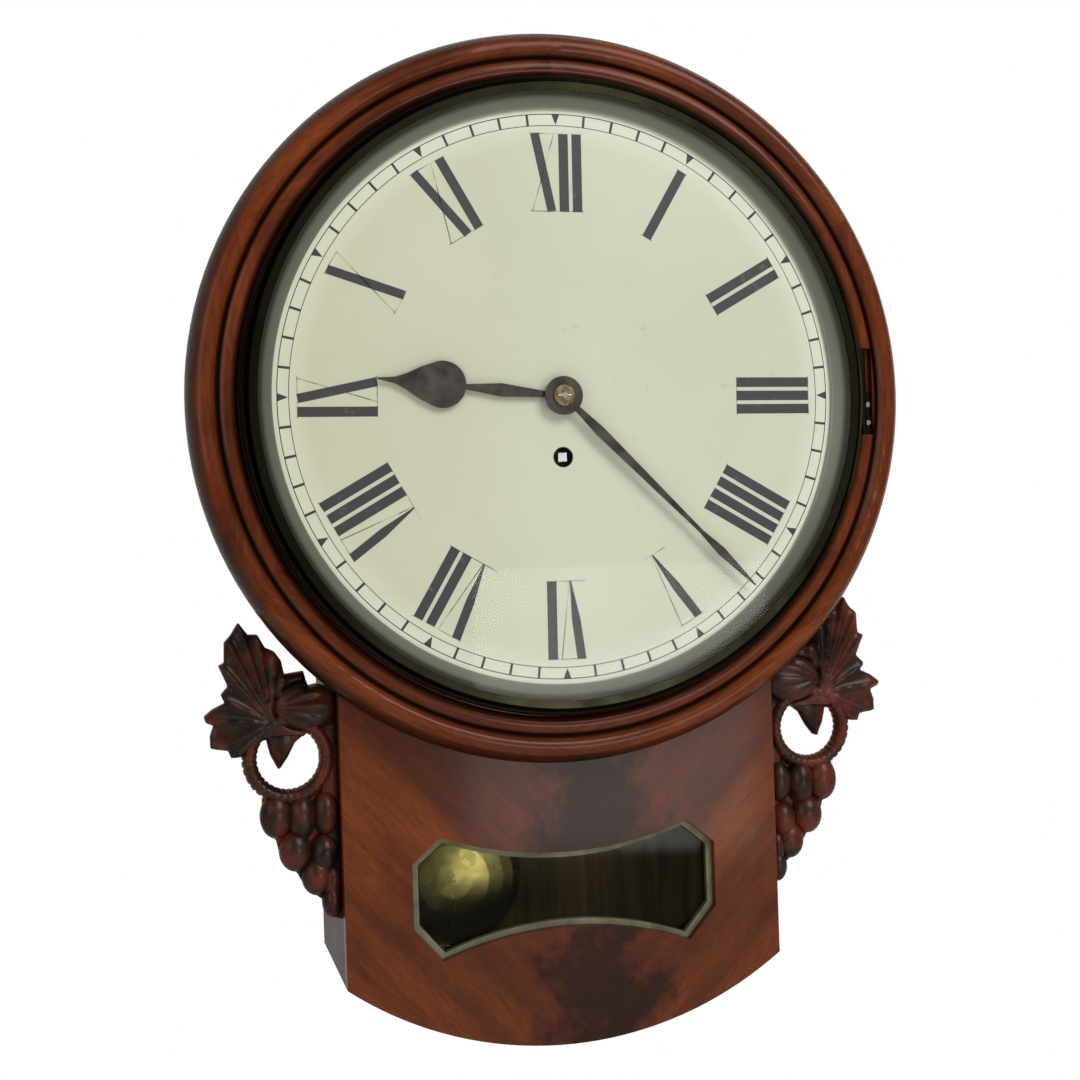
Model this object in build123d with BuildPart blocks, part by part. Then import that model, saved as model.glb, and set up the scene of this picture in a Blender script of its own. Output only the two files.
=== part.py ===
from build123d import *
from math import atan2, cos, degrees, pi, radians, sin, sqrt
import os

# Drop dial wall clock with a single fusee movement, in millimetres.
# Origin: centre of the hanging hole on the wall plane. The wall is Y = 0, the clock
# stands out from it towards -Y, X is to the right and Z is up.
# Depths are standoffs: how far a face stands out from the wall.
# Heights are measured from the dial centre, up positive.

os.makedirs("parts", exist_ok=True)

# Case box
dial_drop = 95.0            # dial centre below the hanging hole
case_half_width = 120.0
board = 9.0                 # thickness of the case boards
case_top_height = 105.0
side_foot = -308.0          # straight bottom edge of the sides
bottom_sag = 39.5           # how far the curved bottom hangs below the sides
bottom_board = 8.0
trunk_standoff = 113.5      # front of the trunk and back of the dial surround
trunk_head = -118.0         # top edge of the trunk front, hidden by the surround

# Hanging plate, let into the back of the backboard
hanging_radius = 5.0
hook_room_radius = 8.0
hanging_thickness = 2.5
plate_half_width = 20.0
plate_above = 9.0
plate_below = 17.0
plate_screw_spread = 13.5
plate_screw_drop = 9.0
steady_x = 60.0
steady_height = -262.0
steady_radius = 2.5

# Wood screws
screw_radius = 1.6
screw_fit = 0.05
screw_head_radius = 3.2
screw_head_height = 1.5
screw_depth = 7.0
dial_screw_head_radius = 2.6
dial_screw_head_height = 0.9

# Dial surround, a turned ring
crest_standoff = 138.0
seat_standoff = 134.5       # flat seat of the dial and the bezel
band_standoff = 137.0
groove_bottom = 134.2
groove_half_width = 1.0
batten_width = 14.5
batten_back = 88.0
batten_top = 94.0
batten_foot = -100.0
peg_radius = 4.0
peg_length = 25.0
peg_heights = (80.0, -88.0)
peg_standoff = 101.0
peg_fit = 0.05

# Dial
dial_thickness = 1.5
dial_screw_count = 4
winding_hole_radius = 5.4
centre_hole_radius = 7.2

# Bezel with its glass and sight ring
bezel_radius = 167.5        # the other rings of the dial follow from it
bezel_seat_gap = 0.3
bezel_height = 11.0         # above the dial face
bezel_lip_thickness = 0.7
glass_thickness = 1.5
sight_lift = 1.2            # inner edge of the sight ring above the dial face
sight_thickness = 1.0
bezel_knuckle_radius = 2.1
bezel_pin_radius = 0.9
bezel_pin_standoff = 135.0
bezel_leaf_thickness = 1.3
hinge_recess_half = 23.7
hinge_recess_floor = 132.4
leaf_screw_radius = 0.8
leaf_screw_depth = 6.0

# Hands
minute_hand_length = 145.6
minute_hand_angle = 135.2   # clockwise from twelve
minute_boss_radius = 10.2
minute_hand_lift = 5.2      # back of the hand above the dial face
hour_hand_length = 98.0
hour_hand_angle = 276.1
hour_bulb_reach = 64.0
hour_bulb_radius = 12.3
hour_boss_radius = 8.5
hour_hand_lift = 2.6
hand_thickness = 0.9
collet_radius = 5.5
collet_height = 1.2
hand_pin_radius = 0.45
hand_pin_half = 3.6           # half the length of the pin across the arbor

# Window in the trunk, waisted top and bottom
window_half_width = 83.8
window_corner_half = 68.4
window_corner_top = -231.4
window_side_top = -244.5
window_side_foot = -279.4
window_corner_foot = -297.1
window_waist_top = -243.9
window_waist_foot = -284.5
bead_width = 3.5
bead_thickness = 4.0
bead_recess = 4.5
bead_fit = 0.1
window_glass_lap = 5.0
window_glass_thickness = 2.2

# Doors with surface hinges and turn buttons
side_door_head = -75.0
side_door_foot = -215.0
side_door_back = 22.0
side_door_front = 82.0
bottom_door_half = 60.0
door_gap = 1.1
hinge_gap = 0.5
hinge_length = 20.0
hinge_leaf_width = 10.0
leaf_thickness = 1.2
knuckle_radius = 1.7
hinge_pin_radius = 0.8
hinge_fit = 0.05
knuckle_gap = 0.3
side_hinge_heights = (-110.0, -200.0)
bottom_hinge_standoffs = (18.0, 76.0)
button_length = 22.0
button_width = 8.0
button_thickness = 2.0
button_lift = 0.3
button_inset = 6.5          # button screw to the edge of its door
side_button_height = -100.0
bottom_button_standoff = 56.0

# Carved ears: a vine leaf over a ring, with grapes below
ear_back = 91.0
ear_front = 111.0
ear_ring_back = 93.0
ear_ring_front = 106.0
ear_grape_back = 92.0
ear_grape_depth = 17.0
ring_centre = (146.0, -186.0)
ring_inner = 16.5
ring_outer = 24.4

# Movement plates, pillars and dial feet
plate_left = -86.0
plate_right = 48.0
plate_head = 76.0
plate_foot = -80.0
plate_corner = 3.0
plate_thickness = 2.5
plate_gap = 44.0
dial_to_plate = 20.5        # room for the motion work behind the dial
pillar_radius = 4.2
pillar_neck = 2.6
pillar_places = ((-76.0, -70.0), (38.0, -70.0), (-76.0, 66.0), (38.0, 66.0))
foot_radius = 3.4
foot_neck = 2.4
foot_places = ((-79.0, -14.0), (-79.0, 40.0), (40.0, -50.0), (40.0, 40.0))
neck_reach = 3.2
taper_pin_radius = 0.9
taper_pin_length = 13.0
fixed_fit = 0.03            # round pieces that are riveted or pinned together

# Going train
fusee_drop = 32.1           # fusee arbor below the dial centre
great_teeth = 84
centre_leaves = 7
centre_teeth = 72
third_leaves = 6
third_teeth = 60
escape_leaves = 6
escape_teeth = 26
centre_module = 0.70
third_module = 0.60
escape_height = 38.0
escape_radius = 13.6
pallet_height = 60.0
wheel_thickness = 1.5
great_thickness = 2.6
hub_radius = 4.0
arbor_radius = 0.95
centre_shaft_radius = 1.5
running_fit = 0.05
end_shake = 0.1             # play of an arbor between the plates
pivot_radius = 0.6
pinion_margin = 0.7
escape_root = 11.4
great_standoff = 69.0
centre_wheel_standoff = 108.4
third_wheel_standoff = 92.0
escape_wheel_standoff = 72.0

# Fusee, barrel and line
winding_arbor_radius = 3.3
winding_neck_radius = 2.5    # where the great wheel turns on it
winding_square = 4.6
winding_square_end = 134.0
fusee_small = 9.0
fusee_large = 18.5
fusee_length = 31.0
fusee_flange = 1.4
snail_radius = 12.0
snail_thickness = 2.0
barrel_place = (-54.0, -46.0)
barrel_radius = 23.0
barrel_wall = 1.6
barrel_length = 37.0
barrel_lift = 1.6           # above the back plate
barrel_arbor_radius = 3.0
barrel_pivot_radius = 2.2
spring_inner = 9.0
strip_thickness = 0.8
strip_turns = 6
line_radius = 0.8
line_fit = 0.2
wound_half = 0.6            # half thickness of the layer of line on the barrel
ratchet_radius = 9.0
ratchet_teeth = 14
ratchet_thickness = 2.4
ratchet_lift = 0.4
click_reach = (12.0, 12.0)
click_hub_radius = 3.0
click_stud_radius = 1.5

# Motion work
cannon_leaves = 12
minute_teeth = 36
minute_leaves = 10
hour_teeth = 40
minute_arbor_reach = 19.5
minute_arbor_angle = 150.0
minute_stud_radius = 1.5
minute_pinion_length = 3.8
hour_wheel_thickness = 1.3
centre_arbor_radius = 1.4
cannon_pipe_radius = 2.6
cannon_step = 0.5            # the minute hand sits on the reduced end of the pipe
hour_pipe_radius = 4.2
motion_lift = 1.0           # cannon pinion above the front plate

# Pallets, crutch and pendulum
swing_angle = 9.0           # stored at the left end of its swing, as photographed
pendulum_standoff = 47.0
pendulum_length = 330.0     # from the bend of the spring to the middle of the bob
crutch_length = 56.0
crutch_standoff = 57.0
crutch_width = 4.0
crutch_thickness = 1.4
crutch_room_radius = 3.2
fork_fit = 0.1
fork_thickness = 1.6
fork_height = 5.0
pallet_standoff = 71.2
pallet_thickness = 3.0
pallet_elbow = 11.0
pallet_reach = 16.2
pallet_half_angle = 50.0
cock_standoff = 50.5
cock_thickness = 2.8
cock_half_width = 24.0
cock_half_height = 6.0
cock_leg_x = 21.0
cock_leg_half = 3.0
post_half_width = 4.0
post_height = 9.0
post_lift = 0.3
rod_radius = 2.2
spring_width = 5.0
spring_thickness = 0.3
spring_length = 12.0
spring_start = 0.2
chop_size = 6.0
chop_length = 8.0
bob_radius = 40.0
bob_thickness = 22.0
bob_rim = 3.0
bob_fit = 0.1
nut_radius = 6.5
nut_height = 7.0
rod_tail = 16.0

# Sizes that follow from the ones above
bezel_inner = bezel_radius - 6.5
bezel_lip = bezel_inner - 1.8
bezel_pin_x = bezel_radius + 3.1
sight_radius = bezel_inner - 9.5
dial_radius = bezel_inner - 3.0
dial_screw_circle = dial_radius - 3.4
seat_radius = bezel_radius + 1.0
groove_radius = seat_radius + 10.1
crest_radius = groove_radius + 8.4
surround_radius = crest_radius + 7.5
surround_bore = seat_radius - 46.5
back_edge_radius = surround_radius - 3.5
hinge_recess_outer = bezel_pin_x + 5.4
clear = 0.3
dial_z = -dial_drop
dial_standoff = seat_standoff + dial_thickness
inner_half_width = case_half_width - board
front_board_back = trunk_standoff - board
bottom_radius = (case_half_width**2 + bottom_sag**2) / (2 * bottom_sag)
bottom_centre = side_foot - bottom_sag + bottom_radius
bottom_inner = bottom_radius - bottom_board
front_plate_front = seat_standoff - dial_to_plate
front_plate_back = front_plate_front - plate_thickness
back_plate_front = front_plate_back - plate_gap
back_plate_back = back_plate_front - plate_thickness
minute_wheel_front = front_plate_front + motion_lift + 0.2 + wheel_thickness + minute_pinion_length
cock_front = cock_standoff + cock_thickness
cock_screw_places = [(side * cock_leg_x, pallet_height) for side in (-1, 1)]
side_button_standoff = side_door_front + button_inset
bottom_button_x = bottom_door_half + button_inset


def front_at(x, height, standoff):
    """Plane parallel to the wall, facing the viewer."""
    return Plane(origin=(x, -standoff, dial_z + height), x_dir=(1, 0, 0), z_dir=(0, -1, 0))


def wall_face(x, height, standoff):
    """Plane parallel to the wall, facing it."""
    return Plane(origin=(x, -standoff, dial_z + height), x_dir=(-1, 0, 0), z_dir=(0, 1, 0))


def turning_at(x, height):
    """Half section of a turned part: first coordinate radius, second standoff."""
    return Plane(origin=(x, 0, dial_z + height), x_dir=(1, 0, 0), z_dir=(0, 0, -1))


def axis_at(x, height):
    return Axis((x, 0, dial_z + height), (0, -1, 0))


def side_face(side, height, standoff):
    """Plane on the outer face of a case side, 1 for the right and -1 for the left."""
    origin = (side * case_half_width, -standoff, dial_z + height)
    return Plane(origin=origin, x_dir=(0, -side, 0), z_dir=(side, 0, 0))


def bottom_face(x, standoff):
    """Plane on the outside of the curved bottom, facing out of the case."""
    drop = sqrt(bottom_radius**2 - x**2)
    origin = (x, -standoff, dial_z + bottom_centre - drop)
    return Plane(origin=origin, x_dir=(0, -1, 0), z_dir=(x / bottom_radius, 0, -drop / bottom_radius))


def finish(piece, name):
    piece.part.label = name
    export_step(piece.part, f"parts/{name}.step")


def add_disc(plane, radius, length, mode=Mode.ADD):
    """A cylinder that rises from a plane, or sinks into it where its length is negative."""
    with BuildSketch(plane) as disc:
        Circle(radius)
    extrude(disc.sketch, amount=length, mode=mode)


def add_round(x, height, start, end, radius, mode=Mode.ADD):
    """A cylinder square to the wall, from one standoff to another."""
    add_disc(front_at(x, height, start), radius, end - start, mode)


def add_block(x_low, x_high, low, high, start, end, mode=Mode.ADD):
    """A block: X range, height range, standoff range."""
    middle = front_at((x_low + x_high) / 2, (low + high) / 2, start)
    with BuildSketch(middle) as block:
        Rectangle(x_high - x_low, high - low)
    extrude(block.sketch, amount=end - start, mode=mode)


def cut_screw_hole(plane, depth):
    """A screw's hole, from a face inwards; the plane faces out of the wood."""
    add_disc(plane, screw_radius + screw_fit, -depth, Mode.SUBTRACT)


def add_screw(plane, seat, depth, head_radius, head_height):
    """A round-headed screw: its head sits at the height seat above the plane."""
    add_disc(plane.offset(-depth), screw_radius, depth + seat)
    add_disc(plane.offset(seat), head_radius, head_height)


def cross_line(place, standoff):
    """Plane at the left end of a taper pin that crosses a foot or a pillar."""
    x, height = place
    origin = (x - taper_pin_length / 2, -standoff, dial_z + height)
    return Plane(origin=origin, z_dir=(1, 0, 0))


# Case box, its pegs and the hanging plate

backboard_outline = (
    (-case_half_width, side_foot),
    (-case_half_width, case_top_height),
    (case_half_width, case_top_height),
    (case_half_width, side_foot),
)
plate_screw_spots = [
    (side * plate_screw_spread, dial_drop - plate_screw_drop) for side in (-1, 1)
]
plate_low = dial_drop - plate_below
plate_high = dial_drop + plate_above

with BuildPart() as backboard:
    with BuildSketch(front_at(0, 0, 0)):
        with BuildLine():
            Polyline(*backboard_outline)
            RadiusArc(backboard_outline[-1], backboard_outline[0], bottom_radius)
        make_face()
    extrude(amount=board)
    add_block(
        -plate_half_width, plate_half_width, plate_low, plate_high, 0, hanging_thickness,
        mode=Mode.SUBTRACT,
    )
    add_round(0, dial_drop, 0, board, hook_room_radius, Mode.SUBTRACT)
    add_round(steady_x, steady_height, 0, board, steady_radius, Mode.SUBTRACT)
    for x, height in plate_screw_spots:
        cut_screw_hole(wall_face(x, height, 0), screw_depth)
finish(backboard, "backboard")

with BuildPart() as hanging_plate:
    add_block(-plate_half_width, plate_half_width, plate_low, plate_high, 0, hanging_thickness)
    add_round(0, dial_drop, 0, hanging_thickness, hanging_radius, Mode.SUBTRACT)
    for x, height in plate_screw_spots:
        face = wall_face(x, height, 0)
        cut_screw_hole(face, hanging_thickness)
        add_disc(face, screw_head_radius + screw_fit, -screw_head_height, Mode.SUBTRACT)
finish(hanging_plate, "hanging_plate")


def peg_holes():
    return [(side, height) for side in (-1, 1) for height in peg_heights]


def add_case_side(side):
    """One side of the box, stepped back below the surround for the trunk front."""
    inner = Plane(
        origin=(side * inner_half_width, 0, dial_z), x_dir=(0, -1, 0), z_dir=(-1, 0, 0)
    )
    with BuildSketch(inner) as panel:
        Polygon(
            (board, side_foot),
            (front_board_back, side_foot),
            (front_board_back, trunk_head),
            (trunk_standoff, trunk_head),
            (trunk_standoff, case_top_height),
            (board, case_top_height),
            align=None,
        )
    extrude(panel.sketch, amount=-side * board)
    for height in peg_heights:
        face = side_face(side, height, peg_standoff)
        add_disc(face, peg_radius + peg_fit, -board, Mode.SUBTRACT)


with BuildPart() as left_side:
    add_case_side(-1)
finish(left_side, "left_side")

with BuildPart() as right_side:
    add_case_side(1)
    add_block(
        inner_half_width, case_half_width, side_door_foot, side_door_head,
        side_door_back, side_door_front, mode=Mode.SUBTRACT,
    )
    cut_screw_hole(side_face(1, side_button_height, side_button_standoff), screw_depth)
finish(right_side, "right_side")

with BuildPart() as case_top:
    add_block(
        -inner_half_width, inner_half_width, case_top_height - board, case_top_height,
        board, trunk_standoff,
    )
finish(case_top, "case_top")

with BuildPart() as case_pegs:
    for side, height in peg_holes():
        head = side_face(side, height, peg_standoff).offset(clear)
        add_disc(head, peg_radius, -peg_length)
finish(case_pegs, "case_pegs")


# Trunk front with its waisted window


def add_window_shape(grow, mode=Mode.ADD):
    """The window's face: straight corners, and arcs that bow in above and below."""
    slant = grow * 0.45
    half, corner = window_half_width + grow, window_corner_half + slant
    high, low = window_corner_top + grow, window_corner_foot - grow
    side_high, side_low = window_side_top + slant, window_side_foot - slant
    with BuildLine() as edge:
        ThreePointArc((-corner, high), (0, window_waist_top + grow), (corner, high))
        Polyline((corner, high), (half, side_high), (half, side_low), (corner, low))
        ThreePointArc((corner, low), (0, window_waist_foot - grow), (-corner, low))
        Polyline((-corner, low), (-half, side_low), (-half, side_high), (-corner, high))
    return make_face(edge.edges(), mode=mode)


trunk_outline = (
    (-case_half_width, side_foot),
    (-case_half_width, trunk_head),
    (case_half_width, trunk_head),
    (case_half_width, side_foot),
)

with BuildPart() as trunk_front:
    with BuildSketch(front_at(0, 0, front_board_back)):
        with BuildLine():
            Polyline(*trunk_outline)
            RadiusArc(trunk_outline[-1], trunk_outline[0], bottom_radius)
        make_face()
        add_window_shape(0, mode=Mode.SUBTRACT)
    extrude(amount=board)
finish(trunk_front, "trunk_front")

with BuildPart() as window_bead:
    with BuildSketch(front_at(0, 0, trunk_standoff - bead_recess - bead_thickness)):
        add_window_shape(-bead_fit)
        add_window_shape(-bead_width, mode=Mode.SUBTRACT)
    extrude(amount=bead_thickness)
finish(window_bead, "window_bead")

with BuildPart() as window_glass:
    with BuildSketch(front_at(0, 0, front_board_back - window_glass_thickness)):
        add_window_shape(window_glass_lap)
    extrude(amount=window_glass_thickness)
finish(window_glass, "window_glass")


# Curved bottom: a fixed piece at each end with a hinged door between them


def add_bottom_span(x_low, x_high, start, end):
    """A stretch of the curved bottom board, cut away where it passes under a side."""
    with BuildSketch(front_at(0, bottom_centre, start)) as span:
        Circle(bottom_radius)
        Circle(bottom_inner, mode=Mode.SUBTRACT)
        with Locations(((x_low + x_high) / 2, -bottom_radius)):
            Rectangle(x_high - x_low, bottom_radius, mode=Mode.INTERSECT)
        side_board_middle = inner_half_width + board
        with Locations((-side_board_middle, side_foot - bottom_centre + board)):
            Rectangle(2 * board, 2 * board, mode=Mode.SUBTRACT)
        with Locations((side_board_middle, side_foot - bottom_centre + board)):
            Rectangle(2 * board, 2 * board, mode=Mode.SUBTRACT)
    extrude(span.sketch, amount=end - start)


with BuildPart() as bottom_left_rail:
    add_bottom_span(-case_half_width, -bottom_door_half, board, front_board_back)
finish(bottom_left_rail, "bottom_left_rail")

with BuildPart() as bottom_right_rail:
    add_bottom_span(bottom_door_half, case_half_width, board, front_board_back)
    cut_screw_hole(bottom_face(bottom_button_x, bottom_button_standoff), screw_depth)
finish(bottom_right_rail, "bottom_right_rail")

with BuildPart() as bottom_door:
    add_bottom_span(
        -bottom_door_half + hinge_gap, bottom_door_half - door_gap,
        board + hinge_gap, front_board_back - hinge_gap,
    )
finish(bottom_door, "bottom_door")

with BuildPart() as side_door:
    add_block(
        inner_half_width, case_half_width, side_door_foot + door_gap,
        side_door_head - door_gap, side_door_back + hinge_gap, side_door_front - door_gap,
    )
finish(side_door, "side_door")


# Surface hinges of the two doors
# A hinge plane is square to the pin: x crosses the leaves, y lifts off the wood.


def side_hinge_planes():
    x = case_half_width + knuckle_radius
    standoff = side_door_back + hinge_gap / 2
    return [
        Plane(
            origin=(x, -standoff, dial_z + height - hinge_length / 2),
            x_dir=(0, -1, 0),
            z_dir=(0, 0, 1),
        )
        for height in side_hinge_heights
    ]


def bottom_hinge_planes():
    planes = []
    for standoff in bottom_hinge_standoffs:
        face = bottom_face(-bottom_door_half + hinge_gap / 2, standoff).offset(knuckle_radius)
        outward = face.z_dir
        across = Vector(outward.Z, 0, -outward.X)
        planes.append(Plane(origin=face.origin, x_dir=across, z_dir=(0, -1, 0)))
    return planes


def add_leaf(plane, side, knuckles):
    """One leaf and its knuckles; side is 1 towards +x and -1 towards -x."""
    reach = knuckle_radius + knuckle_gap
    seat = leaf_thickness / 2 - knuckle_radius
    with BuildSketch(plane) as flap:
        with Locations((side * (reach + hinge_leaf_width) / 2, seat)):
            Rectangle(hinge_leaf_width - reach, leaf_thickness)
    extrude(flap.sketch, amount=hinge_length)
    for start, end in knuckles:
        with BuildSketch(plane.offset(start)) as knuckle:
            Circle(knuckle_radius)
            with Locations((side * reach / 2, seat)):
                Rectangle(reach, leaf_thickness)
            Circle(hinge_pin_radius + hinge_fit, mode=Mode.SUBTRACT)
        extrude(knuckle.sketch, amount=end - start)


third_of_hinge = hinge_length / 3
outer_knuckles = (
    (0, third_of_hinge - knuckle_gap / 2),
    (2 * third_of_hinge + knuckle_gap / 2, hinge_length),
)
middle_knuckle = (
    (third_of_hinge + knuckle_gap / 2, 2 * third_of_hinge - knuckle_gap / 2),
)

with BuildPart() as door_hinge_leaves:
    for plane in side_hinge_planes():
        add_leaf(plane, -1, outer_knuckles)
    for plane in bottom_hinge_planes():
        add_leaf(plane, 1, outer_knuckles)
finish(door_hinge_leaves, "door_hinge_leaves")

with BuildPart() as side_hinge_straps:
    for plane in side_hinge_planes():
        add_leaf(plane, 1, middle_knuckle)
finish(side_hinge_straps, "side_hinge_straps")

with BuildPart() as bottom_hinge_straps:
    for plane in bottom_hinge_planes():
        add_leaf(plane, -1, middle_knuckle)
finish(bottom_hinge_straps, "bottom_hinge_straps")

with BuildPart() as door_hinge_pins:
    for plane in side_hinge_planes() + bottom_hinge_planes():
        add_disc(plane, hinge_pin_radius, hinge_length)
finish(door_hinge_pins, "door_hinge_pins")


def add_turn_button(face, turn):
    with BuildSketch(face.offset(button_lift)) as bar:
        SlotOverall(button_length, button_width, rotation=turn)
        Circle(screw_radius + screw_fit, mode=Mode.SUBTRACT)
    extrude(bar.sketch, amount=button_thickness)


side_button_face = side_face(1, side_button_height, side_button_standoff)
bottom_button_face = bottom_face(bottom_button_x, bottom_button_standoff)

with BuildPart() as side_door_button:
    add_turn_button(side_button_face, 90)
finish(side_door_button, "side_door_button")

with BuildPart() as bottom_door_button:
    add_turn_button(bottom_button_face, 0)
finish(bottom_door_button, "bottom_door_button")


# Dial surround: a turned mahogany ring with a quarter-round outside a flat band


def dial_screw_planes(standoff):
    step = 360 / dial_screw_count
    angles = [step * (index + 0.5) for index in range(dial_screw_count)]
    return [
        front_at(
            dial_screw_circle * cos(radians(angle)),
            dial_screw_circle * sin(radians(angle)),
            standoff,
        )
        for angle in angles
    ]


leaf_screw_x = bezel_pin_x + bezel_knuckle_radius + 1.4
leaf_screw_planes = [
    front_at(leaf_screw_x, height, hinge_recess_floor + bezel_leaf_thickness)
    for height in (-7.0, -17.0)
]

band_radius = (seat_radius + groove_radius) / 2
groove_lip = groove_bottom + 1.4

with BuildPart() as dial_surround:
    with BuildSketch(turning_at(0, 0)):
        with BuildLine():
            Polyline(
                (back_edge_radius, trunk_standoff),
                (surround_bore, trunk_standoff),
                (surround_bore, seat_standoff),
                (seat_radius, seat_standoff),
            )
            ThreePointArc(
                (seat_radius, seat_standoff),
                (band_radius, band_standoff),
                (groove_radius - groove_half_width, groove_lip),
            )
            Polyline(
                (groove_radius - groove_half_width, groove_lip),
                (groove_radius, groove_bottom),
                (groove_radius + groove_half_width, groove_lip),
                (crest_radius - 5, crest_standoff - 0.6),
            )
            ThreePointArc(
                (crest_radius - 5, crest_standoff - 0.6),
                (crest_radius - 1.5, crest_standoff),
                (crest_radius + 2, crest_standoff - 1.4),
            )
            ThreePointArc(
                (crest_radius + 2, crest_standoff - 1.4),
                (surround_radius - 1.6, crest_standoff - 8),
                (surround_radius, crest_standoff - 17),
            )
            Line((surround_radius, crest_standoff - 17), (back_edge_radius, trunk_standoff))
        make_face()
    revolve(axis=axis_at(0, 0))
    add_block(
        seat_radius - 3, hinge_recess_outer, -hinge_recess_half, hinge_recess_half,
        hinge_recess_floor, crest_standoff, mode=Mode.SUBTRACT,
    )
    for plane in dial_screw_planes(seat_standoff):
        cut_screw_hole(plane, screw_depth)
    for plane in leaf_screw_planes:
        add_disc(plane, leaf_screw_radius + screw_fit, -leaf_screw_depth, Mode.SUBTRACT)
finish(dial_surround, "dial_surround")


def add_batten(side):
    """Upright glued to the back of the surround, inside the box and pegged to its side."""
    outer = side * (inner_half_width - clear)
    inner = side * (inner_half_width - clear - batten_width)
    add_block(
        min(outer, inner), max(outer, inner), batten_foot, batten_top,
        batten_back, trunk_standoff,
    )
    for height in peg_heights:
        face = side_face(side, height, peg_standoff)
        add_disc(face, peg_radius + peg_fit, clear - peg_length, Mode.SUBTRACT)


with BuildPart() as left_batten:
    add_batten(-1)
finish(left_batten, "left_batten")

with BuildPart() as right_batten:
    add_batten(1)
finish(right_batten, "right_batten")


# Dial: a painted iron plate with four feet riveted behind it

fusee_place = (0.0, -fusee_drop)

with BuildPart() as dial_plate:
    add_round(0, 0, seat_standoff, dial_standoff, dial_radius)
    for x, height in foot_places:
        add_round(x, height, front_plate_front, seat_standoff, foot_radius)
        add_round(x, height, front_plate_back - neck_reach, front_plate_front, foot_neck)
        pin_line = cross_line((x, height), front_plate_back - taper_pin_radius)
        add_disc(pin_line, taper_pin_radius + fixed_fit, taper_pin_length, Mode.SUBTRACT)
    add_round(0, 0, seat_standoff, dial_standoff, centre_hole_radius, Mode.SUBTRACT)
    add_round(*fusee_place, seat_standoff, dial_standoff, winding_hole_radius, Mode.SUBTRACT)
    for plane in dial_screw_planes(dial_standoff):
        cut_screw_hole(plane, dial_thickness)
finish(dial_plate, "dial_plate")

# Every wood screw of the clock: dial, hanging plate, bezel hinge and turn buttons
with BuildPart() as wood_screws:
    for plane in dial_screw_planes(dial_standoff):
        add_screw(plane, 0, screw_depth, dial_screw_head_radius, dial_screw_head_height)
    for x, height in plate_screw_spots:
        face = wall_face(x, height, 0)
        add_screw(face, -screw_head_height, screw_depth, screw_head_radius, screw_head_height)
    for plane in leaf_screw_planes:
        add_disc(plane.offset(-leaf_screw_depth), leaf_screw_radius, leaf_screw_depth)
        add_disc(plane, 1.75 * leaf_screw_radius, 0.5)
    for face in (side_button_face, bottom_button_face):
        seat = button_lift + button_thickness + screw_fit
        add_screw(face, seat, screw_depth - 0.5, screw_head_radius, screw_head_height)
finish(wood_screws, "wood_screws")


# Bezel: cast brass ring with two ridges, flat glass and a sloping sight ring

bezel_front = dial_standoff + bezel_height
glass_front = bezel_front - bezel_lip_thickness
glass_back = glass_front - glass_thickness

with BuildPart() as bezel:
    with BuildSketch(turning_at(0, 0)):
        Polygon(
            (bezel_inner, seat_standoff + bezel_seat_gap),
            (bezel_radius, seat_standoff + bezel_seat_gap),
            (bezel_radius, bezel_front - 3.2),
            (bezel_radius - 1.2, bezel_front - 1.4),
            (bezel_radius - 2.6, bezel_front - 2.4),
            (bezel_radius - 4.2, bezel_front),
            (bezel_lip, bezel_front),
            (bezel_lip, glass_front),
            (bezel_inner, glass_front),
            align=None,
        )
    revolve(axis=axis_at(0, 0))
    knuckle_plane = Plane(
        origin=(bezel_pin_x, -bezel_pin_standoff, dial_z + knuckle_gap / 2),
        x_dir=(1, 0, 0),
        z_dir=(0, 0, 1),
    )
    knuckle_length = hinge_recess_half - clear - knuckle_gap / 2
    with BuildSketch(knuckle_plane) as knuckle:
        Circle(bezel_knuckle_radius)
        strap_width = bezel_pin_x - bezel_inner
        with Locations((-strap_width / 2, -bezel_knuckle_radius + bezel_leaf_thickness / 2)):
            Rectangle(strap_width, bezel_leaf_thickness)
        Circle(bezel_pin_radius + hinge_fit, mode=Mode.SUBTRACT)
    extrude(knuckle.sketch, amount=knuckle_length)
finish(bezel, "bezel")

with BuildPart() as bezel_glass:
    add_round(0, 0, glass_back, glass_front, bezel_inner - 0.1)
finish(bezel_glass, "bezel_glass")

with BuildPart() as sight_ring:
    with BuildSketch(turning_at(0, 0)):
        Polygon(
            (sight_radius, dial_standoff + sight_lift),
            (sight_radius + 0.8, dial_standoff + sight_lift),
            (bezel_inner - 0.1, glass_back - 1.6),
            (bezel_inner - 0.1, glass_back),
            (bezel_inner - 1.4, glass_back),
            (sight_radius, dial_standoff + sight_lift + sight_thickness),
            align=None,
        )
    revolve(axis=axis_at(0, 0))
finish(sight_ring, "sight_ring")

with BuildPart() as bezel_hinge_leaf:
    knuckle_start = Plane(
        origin=(bezel_pin_x, -bezel_pin_standoff, dial_z - hinge_recess_half + clear),
        x_dir=(1, 0, 0),
        z_dir=(0, 0, 1),
    )
    leaf_room = hinge_recess_outer - clear - bezel_pin_x
    leaf_seat = bezel_pin_standoff - hinge_recess_floor - bezel_leaf_thickness / 2
    with BuildSketch(knuckle_start):
        Circle(bezel_knuckle_radius)
        with Locations((leaf_room / 2, leaf_seat)):
            Rectangle(leaf_room, bezel_leaf_thickness)
        Circle(bezel_pin_radius + hinge_fit, mode=Mode.SUBTRACT)
    extrude(amount=knuckle_length)
    for plane in leaf_screw_planes:
        add_disc(plane, leaf_screw_radius + screw_fit, -bezel_leaf_thickness, Mode.SUBTRACT)
finish(bezel_hinge_leaf, "bezel_hinge_leaf")

with BuildPart() as bezel_hinge_pin:
    add_disc(knuckle_start, bezel_pin_radius, 2 * (hinge_recess_half - clear))
finish(bezel_hinge_pin, "bezel_hinge_pin")


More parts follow.
